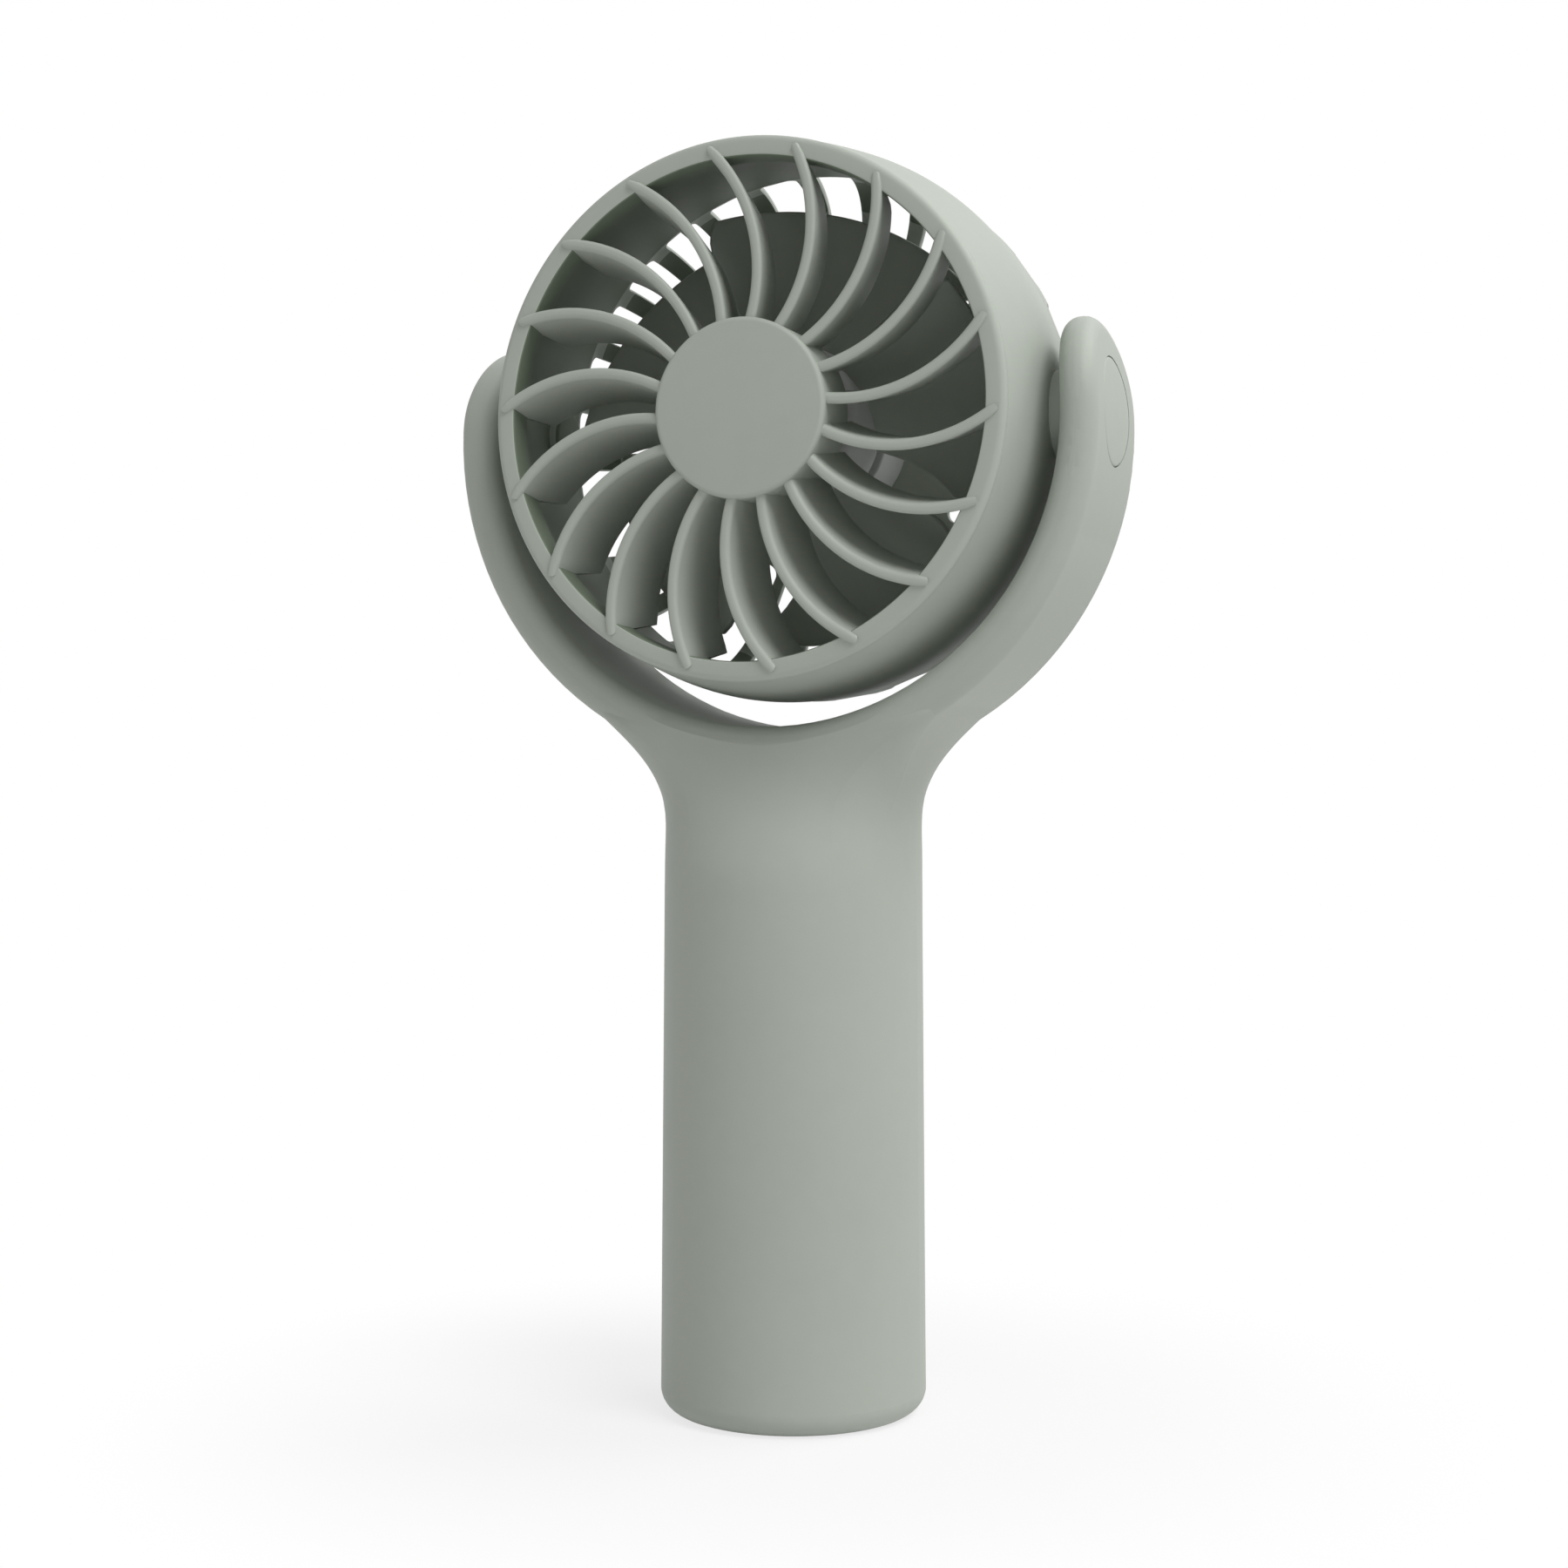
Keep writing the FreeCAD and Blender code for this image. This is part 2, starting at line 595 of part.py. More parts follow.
def make_bore():
    body = new_body("grip_bore")
    corners = [
        ("0", "-1"),
        ("collar_radius", "-1"),
        ("collar_radius", "cap_skirt"),
        ("bore_radius", "cap_skirt + bore_radius - collar_radius"),
        ("bore_radius", "bore_top - grip_wall"),
        ("bore_radius - grip_wall", "bore_top"),
        ("0", "bore_top"),
    ]
    sketch = draw(new_sketch(body, "bore_outline", "XZ"), corners)
    revolve(body, "bore_turn", sketch)
    return body


def make_arm_tube(label, radius, start, end):
    """Round rod that climbs from the grip into the right arm."""
    body = new_body(label)
    tangent_x = "duct_start + duct_tangent * sqrt(3) / 2"
    route = [
        ("duct_start", start),
        ("duct_start", "duct_knee - duct_tangent", "in duct_bend"),
        (tangent_x, "duct_knee + duct_tangent / 2"),
        ("duct_join_x", "duct_join_z", "duct_ring"),
        ("sqrt(duct_ring ^ 2 - (bow_height - (%s)) ^ 2)" % end, end),
    ]
    path = draw(new_sketch(body, label + "_path", "XZ"), route, closed=False)
    ring = circle_sketch(body, label + "_ring", "XY", radius, x="duct_start", level=start)
    pipe = body.newObject("PartDesign::AdditivePipe", label + "_sweep")
    pipe.Profile = ring
    pipe.Spine = path
    return body


def make_socket_opening():
    body = new_body("socket_opening", z="socket_height")
    corners = rounded_box("socket_width + 2 * seat_gap", "socket_tall + 2 * seat_gap",
                          "socket_tall / 2")
    sketch = draw(new_sketch(body, "opening_outline", "XZ", "board_back"), corners)
    pad(body, "opening_pad", sketch, "base_radius", reverse=True)
    return body


def make_handle_shell(bow):
    space = make_head_space()
    neck = cut("neck", make_neck(), [space])
    solid = fuse("handle_solid", [make_grip_core(), neck, bow])
    seat = cylinder("washer_recess", "washer_radius + seat_gap", "arm_inner_round", "X",
                    x="arm_inner + washer_seat - arm_inner_round", z="pivot_height")
    recess = cylinder("cap_recess", "pivot_cap_radius + run_gap", "arm_thick", "X",
                      x="pin_seat", z="pivot_height")
    pin_hole = cylinder("pin_hole", "pin_radius + run_gap", "arm_thick", "X",
                        x="arm_inner - 1", z="pivot_height")
    button_hole = cylinder("button_hole", "button_radius + run_gap", "base_radius", "Y",
                           y="board_back", z="button_height")
    light_hole = cylinder("light_hole", "light_radius + run_gap", "base_radius", "Y",
                          y="board_back", z="light_height")
    duct = make_arm_tube("arm_duct", "duct_radius", "bore_top - grip_wall",
                         "pivot_height - pin_head")
    tools = [make_bore(), make_socket_opening(), recess, mirrored_copy("cap_recess_left", recess),
             pin_hole, mirrored_copy("pin_hole_left", pin_hole), seat,
             mirrored_copy("washer_recess_left", seat), button_hole, light_hole, duct]
    return cut("handle_shell", solid, tools)


def make_pivot_cap(bow):
    """Flush cap: the arm's own dome, cut out by a round tool."""
    tool = cylinder("pivot_cap_tool", "pivot_cap_radius", "arm_thick", "X",
                    x="pin_seat + pin_head_thick + seat_gap", z="pivot_height")
    cap = common("pivot_cap_right", bow, tool)
    return cap, mirrored_copy("pivot_cap_left", cap)


def make_pivot_pins():
    body = new_body("pivot_pin", z="pivot_height")
    inner_end = "barrel_rear - seat_gap"
    corners = [
        (inner_end, "pin_bore"),
        ("pin_seat + pin_head_thick", "pin_bore"),
        ("pin_seat + pin_head_thick", "pin_head"),
        ("pin_seat", "pin_head"),
        ("pin_seat", "pin_radius"),
        (inner_end, "pin_radius"),
    ]
    sketch = draw(new_sketch(body, "pin_outline", "XY"), corners)
    revolve(body, "pin_turn", sketch, axis="H_Axis")
    return pair("pivot_pins", body)


def make_friction_washers():
    body = new_body("friction_washer", z="pivot_height")
    corners = [
        ("washer_in", "pin_radius + run_gap"),
        ("washer_out", "pin_radius + run_gap"),
        ("washer_out", "washer_radius"),
        ("washer_in", "washer_radius"),
    ]
    sketch = draw(new_sketch(body, "washer_outline", "XY"), corners)
    revolve(body, "washer_turn", sketch, axis="H_Axis")
    return pair("friction_washers", body)


def make_base_cap():
    body = new_body("base_cap")
    corners = [
        ("0", "0"),
        ("base_cap_radius - seat_gap", "0"),
        ("base_cap_radius", "seat_gap"),
        ("base_cap_radius", "cap_skirt"),
        ("base_cap_radius - cap_skirt_wall", "cap_skirt"),
        ("base_cap_radius - cap_skirt_wall", "cap_thick"),
        ("0", "cap_thick"),
    ]
    sketch = draw(new_sketch(body, "cap_outline", "XZ"), corners)
    revolve(body, "cap_turn", sketch)
    return body


# ------------------------------------------------- what the grip holds

def make_battery_cell():
    body = new_body("battery_cell")
    foot = "cradle_foot + cradle_end + seat_gap"
    barrel = circle_sketch(body, "cell_ring", "XY", "cell_radius", y="cell_back", level=foot)
    pad(body, "cell_pad", barrel, "cell_length - seat_gap")
    stud = circle_sketch(body, "cell_stud", "XY", "cell_radius / 3", y="cell_back",
                         level=foot + " + cell_length - seat_gap")
    pad(body, "stud_pad", stud, "seat_gap")
    return body


def make_battery_cradle():
    """Trough for the cell, with end walls that carry the board's screws."""
    body = new_body("battery_cradle")
    trough = [
        ("-cradle_outer", "board_front"),
        ("-cradle_outer", "cell_back", "cradle_outer"),
        ("0", "cell_back - cradle_outer", "cradle_outer"),
        ("cradle_outer", "cell_back"),
        ("cradle_outer", "board_front"),
        ("cradle_inner", "board_front"),
        ("cradle_inner", "cell_back", "in cradle_inner"),
        ("0", "cell_back - cradle_inner", "in cradle_inner"),
        ("-cradle_inner", "cell_back"),
        ("-cradle_inner", "board_front"),
    ]
    sketch = draw(new_sketch(body, "trough_outline", "XY", "cradle_foot"), trough)
    pad(body, "trough", sketch, "cradle_length")
    for name, level in (("foot_wall", "cradle_foot"), ("top_wall", "cradle_top - cradle_end")):
        wall = draw(new_sketch(body, name + "_outline", "XY", level), trough[:5])
        pad(body, name, wall, "cradle_end")
    for name, height in BOARD_SCREWS:
        hole = circle_sketch(body, name + "_hole", "XZ", "screw_radius + run_gap",
                             y=height, level="board_front")
        pocket(body, name + "_pocket", hole, "3 * cradle_end", reverse=True)
    return body


BOARD_SCREWS = [
    ("foot_screw", "cradle_foot + cradle_end / 2"),
    ("top_screw", "cradle_top - cradle_end / 2"),
]


def make_circuit_board():
    body = new_body("circuit_board", z="(cradle_foot + cradle_top) / 2")
    outline = rounded_box("board_width", "cradle_length", "1")
    sketch = draw(new_sketch(body, "board_outline", "XZ", "board_front"), outline)
    pad(body, "board_pad", sketch, "board_thick", reverse=True)
    for name, height in BOARD_SCREWS:
        centre = height + " - (cradle_foot + cradle_top) / 2"
        hole = circle_sketch(body, name + "_way", "XZ", "screw_radius + run_gap",
                             y=centre, level="board_back")
        pocket(body, name + "_cut", hole, "board_thick", reverse=True)
    return body


def make_board_screws():
    """Two pan-head screws, one turned profile each."""
    screws = []
    for name, height in BOARD_SCREWS:
        body = new_body(name, z=height)
        corners = [
            ("0", "board_front - 2 * cradle_end"),
            ("screw_radius", "board_front - 2 * cradle_end"),
            ("screw_radius", "board_back"),
            ("screw_head", "board_back"),
            ("screw_head", "board_back + screw_radius"),
            ("0", "board_back + screw_radius"),
        ]
        sketch = draw(new_sketch(body, name + "_outline", "XY"), corners)
        revolve(body, name + "_turn", sketch)
        screws.append(body)
    item = doc.addObject("Part::Compound", "board_screws")
    item.Links = screws
    return item


def make_usb_socket():
    body = new_body("charging_socket", z="socket_height")
    outer = rounded_box("socket_width", "socket_tall", "socket_tall / 2 - socket_sheet / 2")
    sketch = draw(new_sketch(body, "socket_outline", "XZ", "board_back"), outer)
    pad(body, "socket_pad", sketch, "socket_length", reverse=True)
    inner = rounded_box("socket_width - 2 * socket_sheet", "socket_tall - 2 * socket_sheet",
                        "socket_tall / 2 - 2 * socket_sheet")
    mouth = draw(new_sketch(body, "mouth_outline", "XZ", "board_back + socket_length"), inner)
    pocket(body, "mouth", mouth, "socket_length * 2 / 3", reverse=True)
    tongue_shape = rounded_box("socket_width * 0.75", "socket_sheet * 2.4", "socket_sheet / 2")
    tongue_level = "board_back + socket_length / 3"
    tongue = draw(new_sketch(body, "tongue_outline", "XZ", tongue_level), tongue_shape)
    pad(body, "tongue", tongue, "socket_length / 2", reverse=True)
    return body


def make_push_switch():
    body = new_body("push_switch", z="button_height")
    square = rounded_box("switch_side", "switch_side", "0.5")
    sketch = draw(new_sketch(body, "switch_outline", "XZ", "board_back"), square)
    pad(body, "switch_case", sketch, "switch_tall", reverse=True)
    plunger = circle_sketch(body, "plunger_ring", "XZ", "switch_side / 4",
                            level="board_back + switch_tall")
    pad(body, "plunger", plunger, "button_back - button_travel - run_gap - board_back - switch_tall",
        reverse=True)
    return body


def make_power_button():
    body = new_body("power_button", z="button_height")
    corners = [
        ("0", "button_back"),
        ("button_flange", "button_back"),
        ("button_flange", "button_shelf"),
        ("button_radius", "button_shelf"),
        ("button_radius", "button_face - seat_gap"),
        ("button_radius - seat_gap", "button_face"),
        ("0", "button_face"),
    ]
    sketch = draw(new_sketch(body, "button_outline", "XY"), corners)
    revolve(body, "button_turn", sketch)
    return body


def make_light_pipe():
    body = new_body("light_pipe", z="light_height")
    ring = circle_sketch(body, "light_ring", "XZ", "light_radius", level="board_back + seat_gap")
    pad(body, "light_pad", ring, "light_face - board_back - seat_gap", reverse=True)
    return body


# -------------------------------------------------------------- fan head

def make_housing():
    """Barrel of the head with a pivot boss on each side."""
    body = new_body("head_housing", z="pivot_height")
    wall_end = "split_back - spigot_length - run_gap"
    corners = [
        ("barrel_front", "-rim_back"),
        ("front_radius", "-rim_back"),
        ("front_radius + swell_rise", "swell_back - rim_back"),
        ("belly_radius", "-belly_front"),
        ("split_radius", "split_back"),
        ("barrel_rear", "split_back"),
        ("barrel_rear", wall_end),
        ("barrel_front", "ring_skirt - ring_front"),
    ]
    sketch = draw(new_sketch(body, "barrel_outline", "XY"), corners)
    revolve(body, "barrel_turn", sketch)
    ring = circle_sketch(body, "boss_ring", "YZ", "boss_radius", level="belly_radius - head_wall / 2")
    boss = pad(body, "boss", ring, "boss_face - belly_radius + head_wall / 2")
    mirror_across(body, "left_boss", [boss])
    hole = circle_sketch(body, "pin_ring", "YZ", "pin_radius + run_gap")
    pocket(body, "pin_way", hole, "4 * belly_radius", middle=True)
    return body


def make_front_grille():
    """Moulded grille: hub, curved leaning vanes and the rim they run into."""
    body = new_body("front_grille", z="pivot_height")
    hub = [
        ("0", "-hub_front"),
        ("hub_radius - hub_round", "-hub_front", "hub_round"),
        ("hub_radius", "hub_round - hub_front"),
        ("hub_radius", "hub_depth - hub_front"),
        ("hub_radius - hub_wall", "hub_depth - hub_front"),
        ("hub_radius - hub_wall", "hub_wall - hub_front"),
        ("0", "hub_wall - hub_front"),
    ]
    revolve(body, "hub", draw(new_sketch(body, "hub_outline", "XY"), hub))

    vane = [
        ("vane_x - vane_thick / 2", "vane_bevel - vane_front"),
        ("vane_x - vane_thick / 2 + vane_bevel", "-vane_front"),
        ("vane_x + vane_thick / 2 - vane_bevel", "-vane_front"),
        ("vane_x + vane_thick / 2", "vane_bevel - vane_front"),
        ("vane_x - vane_lean + vane_rear_thick / 2", "-vane_rear"),
        ("vane_x - vane_lean - vane_rear_thick / 2", "-vane_rear"),
    ]
    section = draw(new_sketch(body, "vane_section", "XY", "vane_z"), vane)
    add_axis_line(section, "vane_centre")
    first = revolve(body, "vane", section, axis="Axis0", angle="vane_sweep")
    first.Reversed = True
    polar(body, "vanes", [first], "Y_Axis", "vane_count")

    trim = [
        ("skirt_outer - seat_gap", "-rim_back - ring_thick / 2"),
        ("belly_radius", "-rim_back - ring_thick / 2"),
        ("belly_radius", "0"),
        ("ring_inner - seat_gap", "0"),
        ("ring_inner - seat_gap", "ring_skirt - ring_front - ring_thick"),
        ("skirt_outer - seat_gap", "ring_skirt - ring_front - ring_thick"),
    ]
    revolve(body, "vane_trim", draw(new_sketch(body, "trim_outline", "XY"), trim), cut=True)

    rim = [
        ("ring_inner", "-ring_front"),
        ("front_radius - ring_round", "-ring_front", "ring_round"),
        ("front_radius", "ring_round - ring_front"),
        ("front_radius", "-rim_back"),
        ("skirt_outer", "-rim_back"),
        ("skirt_outer", "ring_skirt - ring_front"),
        ("ring_inner", "ring_skirt - ring_front"),
    ]
    revolve(body, "rim", draw(new_sketch(body, "rim_outline", "XY"), rim))
    turn_about_y(body, "vane_turn")
    return body


def add_axis_line(sketch, x, y="0", across=False):
    """Construction line to turn about, upright or across, through (x, y)."""
    far_x = "(%s) + arm_half" % x if across else x
    far_y = y if across else "(%s) + arm_half" % y
    line = Part.LineSegment(FreeCAD.Vector(number(x), number(y), 0),
                            FreeCAD.Vector(number(far_x), number(far_y), 0))
    curve = sketch.addGeometry(line, True)
    pin_point(sketch, curve, 1, x, y)
    pin_point(sketch, curve, 2, far_x, far_y)


def turn_about_y(body, angle):
    body.Placement = FreeCAD.Placement(
        body.Placement.Base, FreeCAD.Rotation(FreeCAD.Vector(0, 1, 0), 1))
    body.setExpression("Placement.Rotation.Angle", linked(angle))


def make_rear_cover():
    """Rear shell with slots that wrap over its shoulder, and the motor's cup."""
    body = new_body("rear_cover", z="pivot_height")
    shoulder_radius = "((split_radius - rear_flat) ^ 2 + shoulder ^ 2) / (2 * shoulder)"
    inner_turn = "rear_flat + (barrel_rear - rear_flat) * 0.62"
    shell = [
        ("0", "cover_inner"),
        ("rear_flat - rear_wall / 2", "cover_inner"),
        (inner_turn, "cover_inner - rear_wall"),
        ("barrel_rear", "split_back + rear_wall"),
        ("barrel_rear", "split_back"),
        ("split_radius", "split_back", shoulder_radius),
        ("rear_flat", "rear_back"),
        ("0", "rear_back"),
    ]
    revolve(body, "shell", draw(new_sketch(body, "shell_outline", "XY"), shell))
    spigot = [
        ("spigot_inner", "split_back - spigot_length"),
        ("spigot_outer", "split_back - spigot_length"),
        ("spigot_outer", "split_back"),
        ("barrel_rear + rear_wall / 2", "split_back"),
        ("barrel_rear + rear_wall / 2", "split_back + rear_wall / 2"),
        ("spigot_inner", "split_back + rear_wall / 2"),
    ]
    revolve(body, "spigot", draw(new_sketch(body, "spigot_outline", "XY"), spigot))

    slot = [
        ("-vent_inner * sin(vent_half)", "vent_inner", "vent_inner * sin(vent_half) * 1.05"),
        ("vent_inner * sin(vent_half)", "vent_inner"),
        ("vent_bend * sin(vent_half)", "vent_bend"),
        ("-vent_bend * sin(vent_half)", "vent_bend"),
    ]
    face_slot = draw(new_sketch(body, "slot_outline", "XZ", "rear_back + 1"), slot)
    slot_cut = pocket(body, "slot", face_slot, "rear_wall + 3", reverse=True)
    half = "vent_bend * sin(vent_half)"
    mouth = [
        ("-" + half, "vent_front + " + half, half),
        ("0", "vent_front", half),
        (half, "vent_front + " + half),
        (half, "rear_back + 1"),
        ("-" + half, "rear_back + 1"),
    ]
    side_slot = draw(new_sketch(body, "mouth_outline", "XY", "vent_bend"), mouth)
    wrap = pocket(body, "wrap", side_slot, "belly_radius", reverse=True)
    polar(body, "slots", [slot_cut, wrap], "Y_Axis", "vent_count")

    cup = [
        ("cup_inner", "cover_inner - motor_cup_depth"),
        ("cup_inner + motor_cup_wall", "cover_inner - motor_cup_depth"),
        ("cup_inner + motor_cup_wall", "cover_inner + rear_wall / 2"),
        ("cup_inner", "cover_inner + rear_wall / 2"),
    ]
    revolve(body, "motor_cup", draw(new_sketch(body, "cup_outline", "XY"), cup))
    turn_about_y(body, "vent_pitch / 2")
    return body


def make_motor_can():
    body = new_body("motor_can", z="pivot_height")
    corners = [
        ("bush_radius + run_gap", "motor_front"),
        ("motor_radius - motor_wall", "motor_front"),
        ("motor_radius", "motor_front + motor_wall"),
        ("motor_radius", "motor_back - bell_thick"),
        ("motor_radius - motor_wall", "motor_back - bell_thick"),
        ("motor_radius - motor_wall", "motor_front + motor_wall"),
        ("bush_radius + run_gap", "motor_front + motor_wall"),
    ]
    revolve(body, "can_turn", draw(new_sketch(body, "can_outline", "XY"), corners))
    return body


def make_motor_bell():
    """Moulded rear end of the motor, with the pocket for the shaft's end."""
    body = new_body("motor_end_bell", z="pivot_height")
    corners = [
        ("shaft_radius + run_gap", "motor_back - bell_thick"),
        ("motor_radius", "motor_back - bell_thick"),
        ("motor_radius", "motor_back"),
        ("0", "motor_back"),
        ("0", "motor_back - bell_thick / 3"),
        ("shaft_radius + run_gap", "motor_back - bell_thick / 3"),
    ]
    revolve(body, "bell_turn", draw(new_sketch(body, "bell_outline", "XY"), corners))
    return body


def make_motor_bush():
    body = new_body("motor_bush", z="pivot_height")
    corners = [
        ("shaft_radius + run_gap", "motor_front - bush_length / 2"),
        ("bush_radius", "motor_front - bush_length / 2"),
        ("bush_radius", "motor_front + bush_length / 2"),
        ("shaft_radius + run_gap", "motor_front + bush_length / 2"),
    ]
    revolve(body, "bush_turn", draw(new_sketch(body, "bush_outline", "XY"), corners))
    return body


def make_motor_magnet():
    body = new_body("motor_magnet", z="pivot_height")
    magnet_front = "motor_front + motor_wall + bush_length"
    corners = [
        ("magnet_radius", magnet_front),
        ("motor_radius - motor_wall - run_gap", magnet_front),
        ("motor_radius - motor_wall - run_gap", "motor_back - bell_thick"),
        ("magnet_radius", "motor_back - bell_thick"),
    ]
    revolve(body, "magnet_turn", draw(new_sketch(body, "magnet_outline", "XY"), corners))
    return body


def make_motor_shaft():
    body = new_body("motor_shaft", z="pivot_height")
    ring = circle_sketch(body, "shaft_ring", "XZ", "shaft_radius",
                         level="motor_back - bell_thick / 3 - seat_gap")
    pad(body, "shaft_pad", ring,
        "motor_back - bell_thick / 3 - seat_gap + fan_hub_front - fan_hub_wall")
    return body


def make_motor_rotor():
    body = new_body("motor_rotor", z="pivot_height")
    rotor_front = "motor_front + motor_wall + bush_length"
    corners = [
        ("shaft_radius", rotor_front),
        ("core_radius", rotor_front),
        ("core_radius", rotor_front + " + core_length"),
        ("shaft_radius", rotor_front + " + core_length"),
    ]
    revolve(body, "rotor_turn", draw(new_sketch(body, "rotor_outline", "XY"), corners))
    return body


def make_impeller():
    """Cup hub with broad pitched blades and a socket for the shaft."""
    body = new_body("impeller", z="pivot_height")
    hub = [
        ("shaft_radius", "fan_hub_wall - fan_hub_front"),
        ("0", "fan_hub_wall - fan_hub_front"),
        ("0", "-fan_hub_front"),
        ("fan_hub_radius - fan_hub_wall", "-fan_hub_front"),
        ("fan_hub_radius", "fan_hub_wall - fan_hub_front"),
        ("fan_hub_radius", "fan_hub_back"),
        ("fan_hub_radius - fan_hub_wall", "fan_hub_back"),
        ("fan_hub_radius - fan_hub_wall", "fan_hub_wall - fan_hub_front"),
        ("fan_socket_radius", "fan_hub_wall - fan_hub_front"),
        ("fan_socket_radius", "motor_front - bush_length / 2 - seat_gap"),
        ("shaft_radius", "motor_front - bush_length / 2 - seat_gap"),
    ]
    revolve(body, "hub", draw(new_sketch(body, "hub_outline", "XY"), hub))
    root_reach = "fan_hub_radius * 0.62"
    root_rise = "fan_hub_depth * 0.42"
    tip_reach = "fan_radius * 0.54"
    tip_rise = "fan_hub_depth * 0.48"
    sections = []
    for name, level, reach, rise in (
            ("root", "fan_hub_radius - fan_hub_wall", root_reach, root_rise),
            ("tip", "fan_radius + 1", tip_reach, tip_rise)):
        middle = "fan_hub_back - fan_hub_depth / 2"
        bow = "2.2 * (%s)" % reach
        blade = [
            ("-" + reach, "%s + %s" % (middle, rise), bow),
            (reach, "%s - %s" % (middle, rise)),
            (reach, "%s - %s + fan_blade_thick" % (middle, rise), "in " + bow),
            ("-" + reach, "%s + %s + fan_blade_thick" % (middle, rise)),
        ]
        sections.append(draw(new_sketch(body, "blade_" + name, "XY", level), blade))
    blade = body.newObject("PartDesign::AdditiveLoft", "blade")
    blade.Profile = sections[0]
    blade.Sections = [sections[1]]
    polar(body, "blades", [blade], "Y_Axis", "fan_count")
    trim = [
        ("fan_radius", "-fan_hub_depth - fan_hub_front"),
        ("2 * fan_radius", "-fan_hub_depth - fan_hub_front"),
        ("2 * fan_radius", "2 * fan_hub_depth"),
        ("fan_radius", "2 * fan_hub_depth"),
    ]
    revolve(body, "tip_trim", draw(new_sketch(body, "tip_trim_outline", "XY"), trim), cut=True)
    return body


# ------------------------------------------------------------------ build

WORKED_OUT += [
    ("button_shelf", "sqrt(bore_radius ^ 2 - button_flange ^ 2) - seat_gap"),
    ("button_back", "button_shelf - 1.2"),
    ("button_face", "sqrt(grip_radius ^ 2 - button_radius ^ 2) + button_proud"),
    ("light_face", "grip_radius + (base_radius - grip_radius) / 2"),
]

fill_sheet()
bow = make_bow()
cap_right, cap_left = make_pivot_cap(bow)
nodes = [
    make_handle_shell(bow),
    make_base_cap(),
    make_battery_cell(),
    make_battery_cradle(),
    make_circuit_board(),
    make_board_screws(),
    make_usb_socket(),
    make_push_switch(),
    make_light_pipe(),
    make_arm_tube("arm_lead", "lead_radius", "bore_top - 2 * grip_wall",
                  "pivot_height - pin_head - seat_gap"),
    cap_right,
    cap_left,
    make_pivot_pins(),
    make_friction_washers(),
    make_power_button(),
    make_housing(),
    make_front_grille(),
    make_rear_cover(),
    make_motor_can(),
    make_motor_bell(),
    make_motor_bush(),
    make_motor_magnet(),
    make_motor_shaft(),
    make_motor_rotor(),
    make_impeller(),
]
doc.recompute()

failed = [item.Name for item in doc.Objects if {"Invalid", "Error"} & set(item.State)]
if failed:
    raise ValueError("failed: " + ", ".join(failed))
for node in nodes:
    if node.Shape.isNull() or not node.Shape.isValid():
        raise ValueError(node.Label + " has no valid shape")

os.makedirs("parts", exist_ok=True)
for node in nodes:
    node.Shape.exportStep("parts/%s.step" % node.Label)
    print("%-20s solids %d  volume %9.1f" % (node.Label, len(node.Shape.Solids), node.Shape.Volume))
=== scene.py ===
import math

import bmesh
import bpy
from mathutils import Matrix, Vector


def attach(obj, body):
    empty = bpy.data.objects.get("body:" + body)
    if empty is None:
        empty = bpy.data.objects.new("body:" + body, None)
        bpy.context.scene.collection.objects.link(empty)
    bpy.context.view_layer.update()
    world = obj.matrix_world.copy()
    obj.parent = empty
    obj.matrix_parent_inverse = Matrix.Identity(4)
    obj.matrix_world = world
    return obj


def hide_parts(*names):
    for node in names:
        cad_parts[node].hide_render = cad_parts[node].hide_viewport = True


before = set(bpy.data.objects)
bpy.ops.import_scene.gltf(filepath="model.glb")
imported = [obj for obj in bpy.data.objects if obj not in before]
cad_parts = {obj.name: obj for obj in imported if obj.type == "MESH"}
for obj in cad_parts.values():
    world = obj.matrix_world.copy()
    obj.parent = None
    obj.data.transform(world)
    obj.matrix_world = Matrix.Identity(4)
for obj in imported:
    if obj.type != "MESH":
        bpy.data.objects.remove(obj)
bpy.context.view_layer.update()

# ------------------------------------------------------------- shared sizes
# All sizes are in metres. The fan blows towards -Y, and the head's sizes count
# from the tilt axis, which lies along X.

TILT_HEIGHT = 0.1456
AXIS = (0, 0, TILT_HEIGHT)

RIM_FRONT = 0.0214      # front face of the grille's rim
RIM_BACK = 0.0201       # seam between the rim and the barrel
LIP_BACK = 0.0168       # rear end of the lip that seats in the barrel
RIM_OUTER = 0.03845
RIM_INNER = 0.0355
LIP_OUTER = 0.0367
SEAT_RADIUS = 0.03675   # bore of the barrel around the lip
SPLIT = 0.0075          # seam between the barrel and the rear cover
SPLIT_RADIUS = 0.0403
BOSS_FACE = 0.04305     # outer face of a pivot boss

FINE_ROUND = 240        # steps round the rim and the barrel
SMALL_ROUND = 96        # steps round the pivot bosses and the caps

# ------------------------------------------------------- shader node helpers


def object_place(tree):
    return tree.nodes.new("ShaderNodeTexCoord").outputs["Object"]


def surface(tree, output):
    return tree.nodes.new("ShaderNodeNewGeometry").outputs[output]


def math_node(tree, operation, first, second, clamp=False):
    node = tree.nodes.new("ShaderNodeMath")
    node.operation = operation
    node.use_clamp = clamp
    for socket, value in zip(node.inputs, (first, second)):
        if isinstance(value, (int, float)):
            socket.default_value = value
        else:
            tree.links.new(value, socket)
    return node.outputs[0]


def vector_node(tree, operation, first, second=None):
    node = tree.nodes.new("ShaderNodeVectorMath")
    node.operation = operation
    for socket, value in zip(node.inputs, (first, second)):
        if isinstance(value, tuple):
            socket.default_value = value
        elif value is not None:
            tree.links.new(value, socket)
    return node.outputs["Value" if operation in ("LENGTH", "DOT_PRODUCT") else "Vector"]


